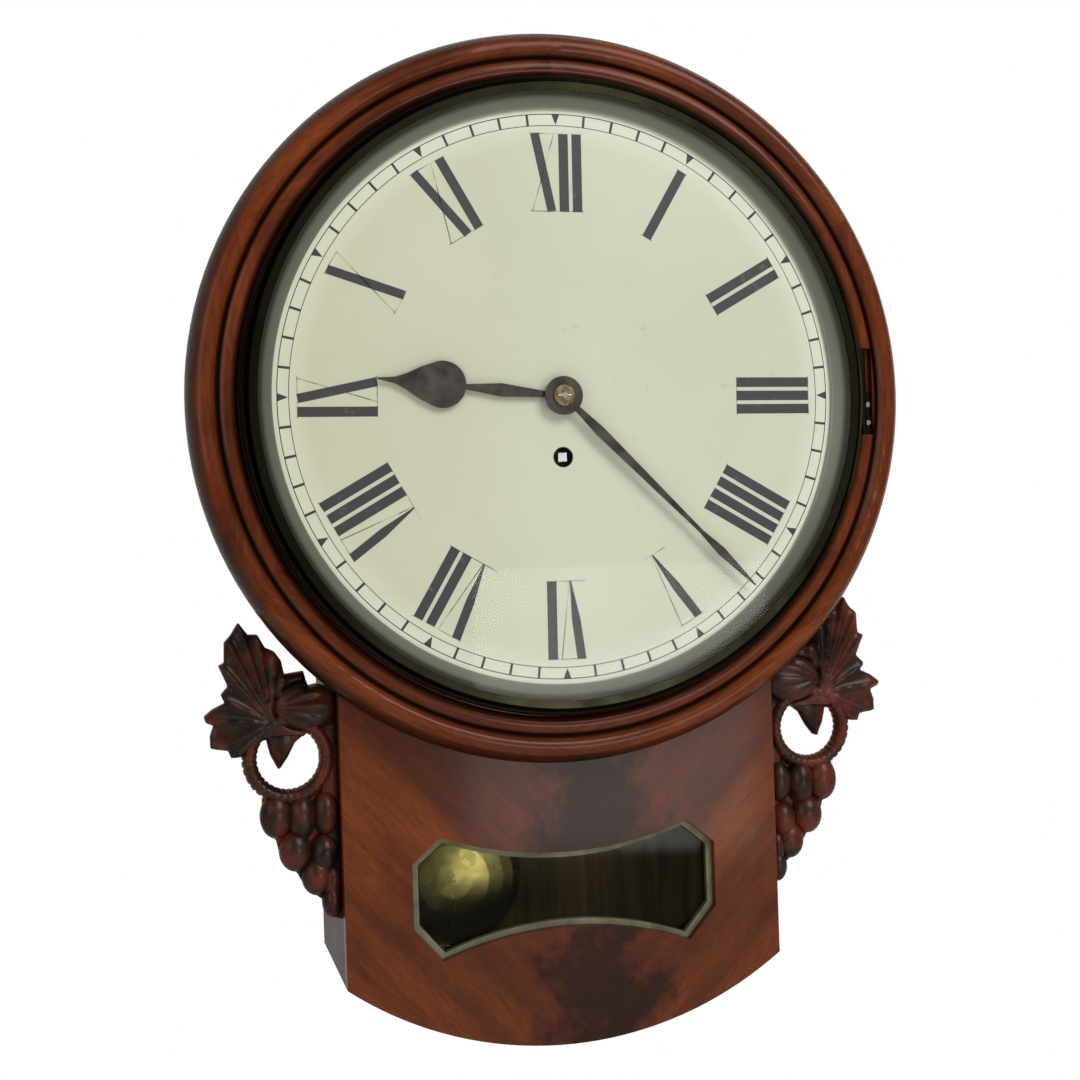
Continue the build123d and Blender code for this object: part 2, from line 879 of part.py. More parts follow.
# Carved ears: a vine leaf over a ring, with a bunch of grapes below

leaf_outline = (
    (120.0, -150.0), (129.9, -147.5), (134.6, -148.4), (136.7, -140.6), (146.8, -141.8),
    (148.2, -134.3), (156.3, -127.2), (160.1, -120.3), (165.0, -120.1), (169.8, -113.5),
    (173.6, -119.7), (177.4, -123.8), (177.7, -134.2), (180.7, -136.0), (176.1, -146.9),
    (179.9, -151.1), (178.0, -155.5), (189.1, -162.2), (184.0, -166.8), (186.0, -178.4),
    (177.2, -180.2), (170.5, -183.6), (158.0, -178.0), (151.1, -192.2), (141.0, -180.0),
    (130.0, -174.0), (120.0, -172.0),
)
# Each grape: across, height, half width, half height
grapes = (
    (126.5, -216.0, 8.0, 12.0), (139.5, -217.0, 8.0, 12.5), (152.8, -216.0, 9.5, 12.5),
    (130.0, -235.0, 8.5, 11.0), (144.0, -234.0, 9.3, 11.5),
    (123.0, -250.0, 8.0, 10.5), (133.5, -248.0, 8.6, 11.0),
    (124.0, -262.0, 7.0, 10.0),
)


def add_ear(side):
    def at(point):
        return (side * point[0], point[1])

    with BuildSketch(front_at(0, 0, ear_back + 4)) as leaf:
        Polygon(*[at(point) for point in leaf_outline], align=None)
    extrude(leaf.sketch, amount=ear_front - ear_back - 4)
    with BuildSketch(front_at(0, 0, ear_ring_back)) as ring:
        with Locations(at(ring_centre)):
            Circle(ring_outer)
            Circle(ring_inner, mode=Mode.SUBTRACT)
        spine_high, spine_low = -165.0, -262.0
        with Locations((side * (case_half_width + 3), (spine_high + spine_low) / 2)):
            Rectangle(6, spine_high - spine_low)
        with Locations((side * (case_half_width - 5), (spine_high + spine_low) / 2)):
            Rectangle(10, 2 * (spine_high - spine_low), mode=Mode.SUBTRACT)
    extrude(ring.sketch, amount=ear_ring_front - ear_ring_back)
    for x, height, half_width, half_height in grapes:
        with BuildSketch(front_at(0, 0, ear_grape_back)) as berry:
            with Locations(at((x, height))):
                Ellipse(half_width, half_height)
            with Locations((side * (case_half_width - 10), height)):
                Rectangle(20, 4 * half_height, mode=Mode.SUBTRACT)
        extrude(berry.sketch, amount=ear_grape_depth)


with BuildPart() as left_ear:
    add_ear(-1)
finish(left_ear, "left_ear")

with BuildPart() as right_ear:
    add_ear(1)
finish(right_ear, "right_ear")


# Hands


def hand_plane(angle, lift):
    """Plane of a hand whose first direction runs along the hand."""
    turn = radians(90 - angle)
    along = (cos(turn), 0, sin(turn))
    return Plane(origin=(0, -dial_standoff - lift, dial_z), x_dir=along, z_dir=(0, -1, 0))


minute_hand_back = dial_standoff + minute_hand_lift
hand_front = minute_hand_back + hand_thickness

with BuildPart() as hour_hand:
    with BuildSketch(hand_plane(hour_hand_angle, hour_hand_lift)):
        Circle(hour_boss_radius)
        Polygon((7, 1.4), (7, -1.4), (33, -3.5), (53, -1.2), (53, 1.2), (33, 3.5), align=None)
        with Locations((hour_bulb_reach, 0)):
            Circle(hour_bulb_radius)
        Polygon(
            (68, 11.6), (76, 8.2), (83, 4.2), (89, 1.7), (hour_hand_length, 0.5),
            (hour_hand_length, -0.5), (89, -1.7), (83, -4.2), (76, -8.2), (68, -11.6),
            align=None,
        )
        Circle(hour_pipe_radius + fixed_fit, mode=Mode.SUBTRACT)
    extrude(amount=hand_thickness)
finish(hour_hand, "hour_hand")

minute_shoulder = minute_hand_length - 26.6
minute_waist = minute_shoulder - 15

with BuildPart() as minute_hand:
    with BuildSketch(hand_plane(minute_hand_angle, minute_hand_lift)):
        Circle(minute_boss_radius)
        Polygon(
            (8, 1.5), (8, -1.5), (27, -2.7), (minute_waist, -1.0), (minute_shoulder, -2.4),
            (minute_hand_length, -0.4), (minute_hand_length, 0.4), (minute_shoulder, 2.4),
            (minute_waist, 1.0), (27, 2.7), align=None,
        )
        Circle(cannon_pipe_radius - cannon_step + fixed_fit, mode=Mode.SUBTRACT)
    extrude(amount=hand_thickness)
finish(minute_hand, "minute_hand")

arbor_front = hand_front + collet_height + 1.0
cannon_front = hand_front

with BuildPart() as hand_collet:
    add_round(0, 0, hand_front, hand_front + collet_height, collet_radius)
    add_round(
        0, 0, hand_front, hand_front + collet_height, centre_arbor_radius + running_fit,
        Mode.SUBTRACT,
    )
finish(hand_collet, "hand_collet")

hand_pin_standoff = hand_front + collet_height + hand_pin_radius
hand_pin_line = Plane(origin=(-hand_pin_half, -hand_pin_standoff, dial_z), z_dir=(1, 0, 0))

with BuildPart() as hand_pin:
    add_disc(hand_pin_line, hand_pin_radius, 2 * hand_pin_half)
finish(hand_pin, "hand_pin")


# Toothed wheels


def gear_outline(teeth, module, turn, addendum=0.95, dedendum=1.3, width=0.42, tip=0.55):
    """Points of a toothed wheel with one tooth centred on the angle turn, in degrees.
    width is the share of the pitch that a tooth takes on the pitch circle, and tip is
    the tip's share of that width."""
    pitch_radius = module * teeth / 2
    step = 360 / teeth
    half = step * width / 2
    points = []
    for index in range(teeth):
        middle = turn + index * step
        for angle, radius in (
            (middle - half * 1.25, pitch_radius - dedendum * module),
            (middle - half * tip, pitch_radius + addendum * module),
            (middle + half * tip, pitch_radius + addendum * module),
            (middle + half * 1.25, pitch_radius - dedendum * module),
        ):
            points.append((radius * cos(radians(angle)), radius * sin(radians(angle))))
    return points


def add_gear(place, start, end, teeth, module, turn, bore=0.0, **form):
    with BuildSketch(front_at(*place, start)) as blank:
        Polygon(*gear_outline(teeth, module, turn, **form), align=None)
        if bore:
            Circle(bore, mode=Mode.SUBTRACT)
    extrude(blank.sketch, amount=end - start)


def bearing(place, other):
    """Direction from one arbor to another, in degrees from the X axis."""
    return degrees(atan2(other[1] - place[1], other[0] - place[0]))


def cut_spokes(place, start, end, hub, rim):
    """Four windows that leave crossings in a wheel."""
    with BuildSketch(front_at(*place, start)) as gaps:
        Circle(rim)
        Circle(hub, mode=Mode.SUBTRACT)
        Rectangle(2.6, 2 * rim + 2, mode=Mode.SUBTRACT)
        Rectangle(2 * rim + 2, 2.6, mode=Mode.SUBTRACT)
    extrude(gaps.sketch, amount=end - start, mode=Mode.SUBTRACT)


leaf_form = dict(addendum=0.75, dedendum=1.35, width=0.36, tip=0.7)

centre_place = (0.0, 0.0)
great_module = 2 * fusee_drop / (great_teeth + centre_leaves)
third_distance = centre_module * (centre_teeth + third_leaves) / 2
escape_distance = third_module * (third_teeth + escape_leaves) / 2
third_height = (escape_height**2 + third_distance**2 - escape_distance**2) / (2 * escape_height)
third_place = (sqrt(third_distance**2 - third_height**2), third_height)
escape_place = (0.0, escape_height)
pallet_place = (0.0, pallet_height)
minute_place = (
    minute_arbor_reach * cos(radians(minute_arbor_angle)),
    minute_arbor_reach * sin(radians(minute_arbor_angle)),
)


# Motion work behind the dial

cannon_module = 2 * minute_arbor_reach / (cannon_leaves + minute_teeth)
hour_module = 2 * minute_arbor_reach / (minute_leaves + hour_teeth)
cannon_back = front_plate_front + motion_lift
cannon_pinion_front = cannon_back + 2.5
minute_wheel_back = cannon_back + 0.2
hour_wheel_back = cannon_pinion_front + 0.5
hour_hand_back = dial_standoff + hour_hand_lift

with BuildPart() as cannon_pinion:
    add_gear(
        centre_place, cannon_back, cannon_pinion_front, cannon_leaves, cannon_module,
        bearing(centre_place, minute_place) + 180 / cannon_leaves, **leaf_form,
    )
    add_round(0, 0, cannon_pinion_front, minute_hand_back, cannon_pipe_radius)
    add_round(0, 0, minute_hand_back, cannon_front, cannon_pipe_radius - cannon_step)
    add_round(
        0, 0, cannon_back, cannon_front, centre_arbor_radius + running_fit, Mode.SUBTRACT
    )
finish(cannon_pinion, "cannon_pinion")

with BuildPart() as minute_wheel:
    add_gear(
        minute_place, minute_wheel_back, minute_wheel_back + wheel_thickness,
        minute_teeth, cannon_module, bearing(minute_place, centre_place),
    )
    add_gear(
        minute_place, minute_wheel_back + wheel_thickness, minute_wheel_front,
        minute_leaves, hour_module, bearing(minute_place, centre_place) + 180 / minute_leaves,
        **leaf_form,
    )
    add_round(
        *minute_place, minute_wheel_back, minute_wheel_front, minute_stud_radius + running_fit,
        Mode.SUBTRACT,
    )
finish(minute_wheel, "minute_wheel")

with BuildPart() as hour_wheel:
    add_gear(
        centre_place, hour_wheel_back, hour_wheel_back + hour_wheel_thickness,
        hour_teeth, hour_module, bearing(centre_place, minute_place),
    )
    add_round(
        0, 0, hour_wheel_back, hour_hand_back + hand_thickness, hour_pipe_radius
    )
    add_round(
        0, 0, hour_wheel_back, hour_hand_back + hand_thickness,
        cannon_pipe_radius + running_fit, Mode.SUBTRACT,
    )
finish(hour_wheel, "hour_wheel")


# Movement plates, joined by four pillars and hung on the dial feet by taper pins

click_place = (barrel_place[0] + click_reach[0], barrel_place[1] + click_reach[1])


def add_plate(start, end):
    middle = ((plate_left + plate_right) / 2, (plate_head + plate_foot) / 2)
    with BuildSketch(front_at(*middle, start)) as sheet:
        RectangleRounded(plate_right - plate_left, plate_head - plate_foot, plate_corner)
    extrude(sheet.sketch, amount=end - start)


def drill_plate(holes, start, end):
    for (x, height), radius in holes:
        add_round(x, height, start, end, radius, Mode.SUBTRACT)


with BuildPart() as front_plate:
    add_plate(front_plate_back, front_plate_front)
    drill_plate(
        [(place, foot_neck + fixed_fit) for place in foot_places]
        + [(place, pillar_neck + fixed_fit) for place in pillar_places]
        + [
            (centre_place, centre_arbor_radius + running_fit),
            (fusee_place, winding_arbor_radius + running_fit),
            (third_place, pivot_radius + running_fit),
            (escape_place, pivot_radius + running_fit),
            (pallet_place, pivot_radius + running_fit),
            (barrel_place, barrel_pivot_radius + running_fit),
        ],
        front_plate_back, front_plate_front,
    )
    add_round(*minute_place, front_plate_front, minute_wheel_front + 1.2, minute_stud_radius)
finish(front_plate, "front_plate")

with BuildPart() as back_plate:
    add_plate(back_plate_back, back_plate_front)
    drill_plate(
        [(place, pillar_neck + fixed_fit) for place in pillar_places]
        + [(place, screw_radius + screw_fit) for place in cock_screw_places]
        + [
            (centre_place, pivot_radius + running_fit),
            (fusee_place, barrel_pivot_radius + running_fit),
            (third_place, pivot_radius + running_fit),
            (escape_place, pivot_radius + running_fit),
            (pallet_place, crutch_room_radius),
            (barrel_place, barrel_arbor_radius + running_fit),
            (click_place, click_stud_radius + fixed_fit),
        ],
        back_plate_back, back_plate_front,
    )
finish(back_plate, "back_plate")

with BuildPart() as plate_pillars:
    for place in pillar_places:
        add_round(*place, back_plate_front, front_plate_back, pillar_radius)
        add_round(*place, back_plate_back - 0.6, back_plate_front, pillar_neck)
        add_round(*place, front_plate_back, front_plate_front + neck_reach, pillar_neck)
        pin_line = cross_line(place, front_plate_front + taper_pin_radius)
        add_disc(pin_line, taper_pin_radius + fixed_fit, taper_pin_length, Mode.SUBTRACT)
finish(plate_pillars, "plate_pillars")

with BuildPart() as taper_pins:
    for place in pillar_places:
        line = cross_line(place, front_plate_front + taper_pin_radius)
        add_disc(line, taper_pin_radius, taper_pin_length)
    for place in foot_places:
        line = cross_line(place, front_plate_back - taper_pin_radius)
        add_disc(line, taper_pin_radius, taper_pin_length)
finish(taper_pins, "taper_pins")


# Going train, from the fusee's great wheel to the escape wheel

shoulder_back = back_plate_front + end_shake
shoulder_front = front_plate_back - end_shake
pivot_back = back_plate_back + end_shake
pivot_front = front_plate_front - end_shake


def add_arbor(place, radius=arbor_radius):
    """A steel arbor between the plates with a pivot at each end."""
    add_round(*place, pivot_back, shoulder_back, pivot_radius)
    add_round(*place, shoulder_back, shoulder_front, radius)
    add_round(*place, shoulder_front, pivot_front, pivot_radius)


great_front = great_standoff + great_thickness

with BuildPart() as great_wheel:
    add_gear(
        fusee_place, great_standoff, great_front, great_teeth, great_module,
        bearing(fusee_place, centre_place), winding_neck_radius + running_fit,
    )
finish(great_wheel, "great_wheel")

with BuildPart() as centre_arbor:
    add_round(0, 0, pivot_back, shoulder_back, pivot_radius)
    add_round(0, 0, shoulder_back, shoulder_front, centre_shaft_radius)
    add_round(0, 0, shoulder_front, arbor_front, centre_arbor_radius)
    add_gear(
        centre_place, great_standoff - pinion_margin, great_front + pinion_margin,
        centre_leaves, great_module,
        bearing(centre_place, fusee_place) + 180 / centre_leaves, **leaf_form,
    )
    centre_front = centre_wheel_standoff + wheel_thickness
    add_gear(
        centre_place, centre_wheel_standoff, centre_front, centre_teeth, centre_module,
        bearing(centre_place, third_place),
    )
    cut_spokes(centre_place, centre_wheel_standoff, centre_front, hub_radius, 22.0)
    add_disc(hand_pin_line, hand_pin_radius + fixed_fit, 2 * hand_pin_half, Mode.SUBTRACT)
finish(centre_arbor, "centre_arbor")

with BuildPart() as third_arbor:
    add_arbor(third_place)
    add_gear(
        third_place, centre_wheel_standoff - pinion_margin, centre_front + pinion_margin,
        third_leaves, centre_module,
        bearing(third_place, centre_place) + 180 / third_leaves, **leaf_form,
    )
    third_front = third_wheel_standoff + wheel_thickness
    add_gear(
        third_place, third_wheel_standoff, third_front, third_teeth, third_module,
        bearing(third_place, escape_place),
    )
    cut_spokes(third_place, third_wheel_standoff, third_front, hub_radius, 15.4)
finish(third_arbor, "third_arbor")


def escape_outline():
    """Sharp teeth that all lean one way, as an anchor escapement needs."""
    step = 360 / escape_teeth
    points = []
    for index in range(escape_teeth):
        for share, radius in ((0, escape_root), (0.3, escape_radius), (0.42, escape_root)):
            angle = radians((index + share) * step)
            points.append((radius * cos(angle), radius * sin(angle)))
    return points


with BuildPart() as escape_arbor:
    add_arbor(escape_place)
    add_gear(
        escape_place, third_wheel_standoff - pinion_margin, third_front + pinion_margin,
        escape_leaves, third_module,
        bearing(escape_place, third_place) + 180 / escape_leaves, **leaf_form,
    )
    with BuildSketch(front_at(*escape_place, escape_wheel_standoff)):
        Polygon(*escape_outline(), align=None)
    extrude(amount=wheel_thickness)
    cut_spokes(
        escape_place, escape_wheel_standoff, escape_wheel_standoff + wheel_thickness,
        hub_radius, escape_root - 2.0,
    )
finish(escape_arbor, "escape_arbor")


# Fusee on its winding arbor, spring barrel and the line between them

fusee_back = great_front + clear
fusee_front = fusee_back + fusee_length

with BuildPart() as fusee:
    add_round(*fusee_place, pivot_back, shoulder_back, barrel_pivot_radius)
    add_round(*fusee_place, shoulder_back, fusee_back, winding_neck_radius)
    with BuildSketch(turning_at(*fusee_place)):
        with BuildLine():
            Polyline(
                (fusee_small, fusee_front), (0, fusee_front), (0, fusee_back),
                (fusee_large + fusee_flange, fusee_back),
                (fusee_large + fusee_flange, fusee_back + fusee_flange),
                (fusee_large, fusee_back + fusee_flange),
            )
            ThreePointArc(
                (fusee_large, fusee_back + fusee_flange),
                ((fusee_small + fusee_large) / 2 - 1.6, fusee_back + 0.48 * fusee_length),
                (fusee_small, fusee_front),
            )
        make_face()
    revolve(axis=axis_at(*fusee_place))
    add_round(*fusee_place, fusee_front, fusee_front + snail_thickness, snail_radius)
    add_round(
        *fusee_place, fusee_front + snail_thickness, front_plate_front + 0.5,
        winding_arbor_radius,
    )
    with BuildSketch(front_at(*fusee_place, front_plate_front + 0.5)):
        Rectangle(winding_square, winding_square)
    extrude(amount=winding_square_end - front_plate_front - 0.5)
finish(fusee, "fusee")

barrel_back = back_plate_front + barrel_lift
barrel_front = barrel_back + barrel_length
barrel_room = barrel_radius - barrel_wall

with BuildPart() as spring_barrel:
    add_round(*barrel_place, barrel_back, barrel_front, barrel_radius)
    add_round(
        *barrel_place, barrel_back + barrel_wall, barrel_front, barrel_room, Mode.SUBTRACT
    )
    add_round(
        *barrel_place, barrel_back, barrel_back + barrel_wall,
        barrel_arbor_radius + running_fit, Mode.SUBTRACT,
    )
finish(spring_barrel, "spring_barrel")

with BuildPart() as barrel_cap:
    add_round(
        *barrel_place, barrel_front - barrel_wall, barrel_front, barrel_room - fixed_fit
    )
    add_round(
        *barrel_place, barrel_front - barrel_wall, barrel_front,
        barrel_arbor_radius + running_fit, Mode.SUBTRACT,
    )
finish(barrel_cap, "barrel_cap")

ratchet_back = back_plate_back - ratchet_lift - ratchet_thickness
ratchet_root = ratchet_radius - 1.8
click_face = 103.0          # direction of the ratchet tooth that the click holds


def ratchet_outline():
    step = 360 / ratchet_teeth
    points = []
    for index in range(ratchet_teeth):
        angle = radians(click_face - index * step)
        for radius in (ratchet_radius, ratchet_root):
            points.append((radius * cos(angle), radius * sin(angle)))
    return points


with BuildPart() as barrel_arbor:
    with BuildSketch(front_at(*barrel_place, ratchet_back)):
        Polygon(*ratchet_outline(), align=None)
    extrude(amount=ratchet_thickness)
    add_round(
        *barrel_place, ratchet_back, front_plate_back - barrel_lift, barrel_arbor_radius
    )
    add_round(
        *barrel_place, barrel_back + barrel_wall + clear,
        barrel_front - barrel_wall - clear, spring_inner,
    )
    add_round(
        *barrel_place, front_plate_back - barrel_lift, pivot_front, barrel_pivot_radius
    )
finish(barrel_arbor, "barrel_arbor")


def spiral_outline(inner, outer, thickness, turns, steps):
    """Outline of a coiled strip, out along its inner side and back along the other."""
    count = turns * steps
    sides = []
    for shift in (0, thickness):
        side = []
        for index in range(count + 1):
            angle = 2 * pi * index / steps
            radius = inner + shift + (outer - thickness - inner) * index / count
            side.append((radius * cos(angle), radius * sin(angle)))
        sides.append(side)
    return sides[0] + sides[1][::-1]


with BuildPart() as mainspring:
    with BuildSketch(front_at(*barrel_place, barrel_back + barrel_wall + clear)):
        Polygon(
            *spiral_outline(
                spring_inner + clear, barrel_room - clear, strip_thickness, strip_turns, 20
            ),
            align=None,
        )
    extrude(amount=barrel_length - 2 * barrel_wall - 2 * clear)
finish(mainspring, "mainspring")

# The line leaves the underside of the barrel for the large end of the fusee
line_standoff = fusee_back + fusee_flange + line_radius + line_fit
barrel_line_radius = barrel_radius + line_radius + line_fit
fusee_line_radius = fusee_large + line_radius + line_fit
span_x = fusee_place[0] - barrel_place[0]
span_z = fusee_place[1] - barrel_place[1]
span = sqrt(span_x**2 + span_z**2)
lean = atan2(span_z, span_x) - pi / 2 - atan2(fusee_line_radius - barrel_line_radius, span)
line_out = (cos(lean), sin(lean))


def touch(place, radius):
    return Vector(
        place[0] + radius * line_out[0], -line_standoff,
        dial_z + place[1] + radius * line_out[1],
    )


line_start = touch(barrel_place, barrel_line_radius)
line_end = touch(fusee_place, fusee_line_radius)

with BuildPart() as gut_line:
    run = Plane(origin=line_start, z_dir=line_end - line_start)
    add_disc(run, line_radius, (line_end - line_start).length)
    wound_start, wound_end = line_standoff - line_radius, barrel_front - 2.0
    add_round(
        *barrel_place, wound_start, wound_end, barrel_line_radius + wound_half
    )
    add_round(
        *barrel_place, wound_start, wound_end, barrel_line_radius - wound_half,
        Mode.SUBTRACT,
    )
finish(gut_line, "gut_line")


def from_barrel(radius, angle):
    return (radius * cos(radians(angle)), radius * sin(radians(angle)))


with BuildPart() as click:
    with BuildSketch(front_at(*barrel_place, ratchet_back)):
        Polygon(
            from_barrel(ratchet_radius - 1.3, click_face - 3),
            from_barrel(ratchet_radius + 0.4, click_face - 9),
            (click_reach[0] - 1.0, click_reach[1] - click_hub_radius + 0.1),
            (click_reach[0] - 0.5, click_reach[1] + click_hub_radius - 0.1),
            from_barrel(ratchet_radius + 2.2, click_face - 1),
            align=None,
        )
        with Locations(click_reach):
            Circle(click_hub_radius)
            Circle(click_stud_radius + running_fit, mode=Mode.SUBTRACT)
    extrude(amount=ratchet_thickness)
finish(click, "click")


# Pallets, crutch, back cock and pendulum


def swing_plane(standoff):
    """Plane through the swung pendulum: its second direction runs up the rod."""
    turn = radians(swing_angle)
    origin = (0, -standoff, dial_z + pallet_height)
    return Plane(origin=origin, x_dir=(cos(turn), 0, -sin(turn)), z_dir=(0, -1, 0))


with BuildPart() as pallets:
    with BuildSketch(swing_plane(pallet_standoff)):
        Circle(hub_radius)
        for side in (-1, 1):
            tip = side * radians(pallet_half_angle)
            nib = (pallet_reach * sin(tip), -pallet_reach * cos(tip))
            elbow = (side * pallet_elbow, -2.5)
            Polygon((0, 2.6), (0, -1.6), (elbow[0], elbow[1] - 1.5), nib,
                    (nib[0] + side * 2.2, nib[1] + 1.6), (elbow[0] + side * 1.8, elbow[1] + 2.6),
                    align=None)
    extrude(amount=pallet_thickness)
    add_round(*pallet_place, shoulder_front, pivot_front, pivot_radius)
    add_round(*pallet_place, cock_front + end_shake, shoulder_front, arbor_radius)
    add_round(*pallet_place, cock_standoff + end_shake, cock_front + end_shake, pivot_radius)
    with BuildSketch(swing_plane(crutch_standoff)):
        with Locations((0, -crutch_length / 2)):
            Rectangle(crutch_width, crutch_length)
        Circle(crutch_width / 2 + 0.8)
        with Locations((0, -crutch_length)):
            Rectangle(2 * (rod_radius + fork_fit + fork_thickness), fork_height)
    extrude(amount=crutch_thickness)
    with BuildSketch(swing_plane(pendulum_standoff - rod_radius)):
        with Locations((0, -crutch_length)):
            Rectangle(2 * (rod_radius + fork_fit + fork_thickness), fork_height)
            Rectangle(2 * (rod_radius + fork_fit), fork_height, mode=Mode.SUBTRACT)
    extrude(amount=crutch_standoff - pendulum_standoff + rod_radius)
finish(pallets, "pallets")

with BuildPart() as back_cock:
    add_block(
        -cock_half_width, cock_half_width, pallet_height - cock_half_height,
        pallet_height + cock_half_height, cock_standoff, cock_front,
    )
    for side in (-1, 1):
        x, height = side * cock_leg_x, pallet_height
        add_block(
            x - cock_leg_half, x + cock_leg_half, height - cock_half_height,
            height + cock_half_height, cock_front, back_plate_back,
        )
        add_round(x, height, cock_standoff, back_plate_back, screw_radius + screw_fit,
                  Mode.SUBTRACT)
    add_round(*pallet_place, cock_standoff, cock_front, pivot_radius + running_fit,
              Mode.SUBTRACT)
    add_block(
        -post_half_width, post_half_width, pallet_height + post_lift,
        pallet_height + post_lift + post_height, pendulum_standoff - spring_width / 2 - 1,
        cock_standoff,
    )
finish(back_cock, "back_cock")

with BuildPart() as suspension_spring:
    with BuildSketch(swing_plane(pendulum_standoff - spring_width / 2)):
        with Locations((0, -(spring_length + spring_start) / 2)):
            Rectangle(spring_thickness, spring_length - spring_start)
    extrude(amount=spring_width)
finish(suspension_spring, "suspension_spring")


def down_rod(distance):
    """Plane across the rod, facing down it, at a distance below the suspension."""
    turn = radians(swing_angle)
    return Plane(
        origin=(
            -distance * sin(turn), -pendulum_standoff,
            dial_z + pallet_height - distance * cos(turn),
        ),
        x_dir=(cos(turn), 0, -sin(turn)),
        z_dir=(-sin(turn), 0, -cos(turn)),
    )


rod_end = pendulum_length + bob_radius + rod_tail
nut_top = pendulum_length + bob_radius + clear

with BuildPart() as pendulum_rod:
    with BuildSketch(down_rod(spring_length)):
        Rectangle(chop_size, chop_size)
    extrude(amount=chop_length)
    add_disc(down_rod(spring_length + chop_length), rod_radius, rod_end - spring_length - chop_length)
finish(pendulum_rod, "pendulum_rod")

bob_centre = down_rod(pendulum_length).origin
bob_axis = Axis(bob_centre, (0, -1, 0))
bob_section = Plane(origin=bob_centre, x_dir=(1, 0, 0), z_dir=(0, 0, -1))

# Half outline of the lens, from its front around the rim to its back
bob_front = [
    (bob_radius * sin(radians(a)), bob_rim / 2 + (bob_thickness - bob_rim) / 2 * cos(radians(a)))
    for a in range(0, 91, 15)
]
bob_outline = bob_front + [(radius, -depth) for radius, depth in reversed(bob_front)]

with BuildPart() as pendulum_bob:
    with BuildSketch(bob_section):
        Polygon(*bob_outline, align=None)
    revolve(axis=bob_axis)
    add_disc(
        down_rod(pendulum_length - bob_radius - 1), rod_radius + bob_fit,
        2 * bob_radius + 2, Mode.SUBTRACT,
    )
finish(pendulum_bob, "pendulum_bob")

with BuildPart() as rating_nut:
    add_disc(down_rod(nut_top), nut_radius, nut_height)
    add_disc(down_rod(nut_top), rod_radius + running_fit, nut_height, Mode.SUBTRACT)
finish(rating_nut, "rating_nut")

# Screws of the movement: two hold the back cock and one carries the click
with BuildPart() as movement_screws:
    for place in cock_screw_places:
        add_round(*place, cock_standoff, back_plate_front, screw_radius)
        add_round(*place, cock_standoff - screw_head_height, cock_standoff, screw_head_radius)
    add_round(*click_place, ratchet_back - 0.2, back_plate_front, click_stud_radius)
    add_round(
        *click_place, ratchet_back - 0.2 - screw_head_height, ratchet_back - 0.2,
        screw_head_radius,
    )
finish(movement_screws, "movement_screws")
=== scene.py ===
from math import atan2, cos, exp, hypot, pi, radians, sin, sqrt

import bmesh
import bpy
from mathutils import Matrix, Vector


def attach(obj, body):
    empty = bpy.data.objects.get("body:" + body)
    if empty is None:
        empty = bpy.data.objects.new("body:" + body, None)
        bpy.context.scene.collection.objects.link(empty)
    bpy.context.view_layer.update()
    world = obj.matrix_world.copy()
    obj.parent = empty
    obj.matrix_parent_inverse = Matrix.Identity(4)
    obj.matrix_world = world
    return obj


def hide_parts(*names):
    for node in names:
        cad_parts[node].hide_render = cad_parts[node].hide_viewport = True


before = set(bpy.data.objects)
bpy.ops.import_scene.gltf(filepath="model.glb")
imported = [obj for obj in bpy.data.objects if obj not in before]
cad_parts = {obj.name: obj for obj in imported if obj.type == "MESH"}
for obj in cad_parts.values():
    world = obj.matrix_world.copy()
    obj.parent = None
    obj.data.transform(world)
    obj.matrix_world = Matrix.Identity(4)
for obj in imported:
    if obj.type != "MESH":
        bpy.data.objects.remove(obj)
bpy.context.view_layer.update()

# The camera stands left of the clock and level with the hands, 0.9 m from the dial.
# Its place, turn and roll come from the circles and edges in the photograph.
YAW, ROLL, PITCH = 0.23058, -0.03266, 0.003864
forward = Vector((sin(YAW), cos(YAW), PITCH)).normalized()
level_right = Vector((cos(YAW), -sin(YAW), 0))
level_up = level_right.cross(forward)
right = cos(ROLL) * level_right + sin(ROLL) * level_up
up = cos(ROLL) * level_up - sin(ROLL) * level_right
lens = bpy.data.cameras.new("camera")
lens.lens = 58.17
lens.sensor_width = 36.0
lens.shift_x = -0.0005
lens.shift_y = -0.0190
camera = bpy.data.objects.new("camera", lens)
turn = Matrix((right, up, -forward)).transposed().to_4x4()
camera.matrix_world = Matrix.Translation((-0.22286, -1.02802, -0.16312)) @ turn
bpy.context.scene.collection.objects.link(camera)
bpy.context.scene.camera = camera
bpy.context.scene.view_settings.view_transform = "Standard"

# Floor and backdrop: plain white card, well clear of the clock, so that only its edge
# is seen against it.


def linear(code):
    """An sRGB hex colour as linear red, green, blue and alpha."""
    parts = [int(code[i:i + 2], 16) / 255 for i in (1, 3, 5)]
    return [c / 12.92 if c < 0.04045 else ((c + 0.055) / 1.055) ** 2.4 for c in parts] + [1.0]


def add_node(tree, kind, inputs=None, stops=(), **settings):
    """Add a shader node; an input takes a value, or the socket that feeds it. The stops
    of a colour ramp are pairs of position and hex colour."""
    made = tree.nodes.new(kind)
    for key, value in settings.items():
        setattr(made, key, value)
    for key, value in (inputs or {}).items():
        if isinstance(value, bpy.types.NodeSocket):
            tree.links.new(value, made.inputs[key])
        else:
            made.inputs[key].default_value = value
    if stops:
        elements = made.color_ramp.elements
        while len(elements) < len(stops):
            elements.new(0.5)
        for element, (position, code) in zip(elements, stops):
            element.position = position
            element.color = linear(code)
    return made


def new_material(name):
    """A new material, its node tree and its main shader."""
    material = bpy.data.materials.new(name)
    material.use_nodes = True
    tree = material.node_tree
    shader = tree.nodes["Principled BSDF"]
    return material, tree, shader


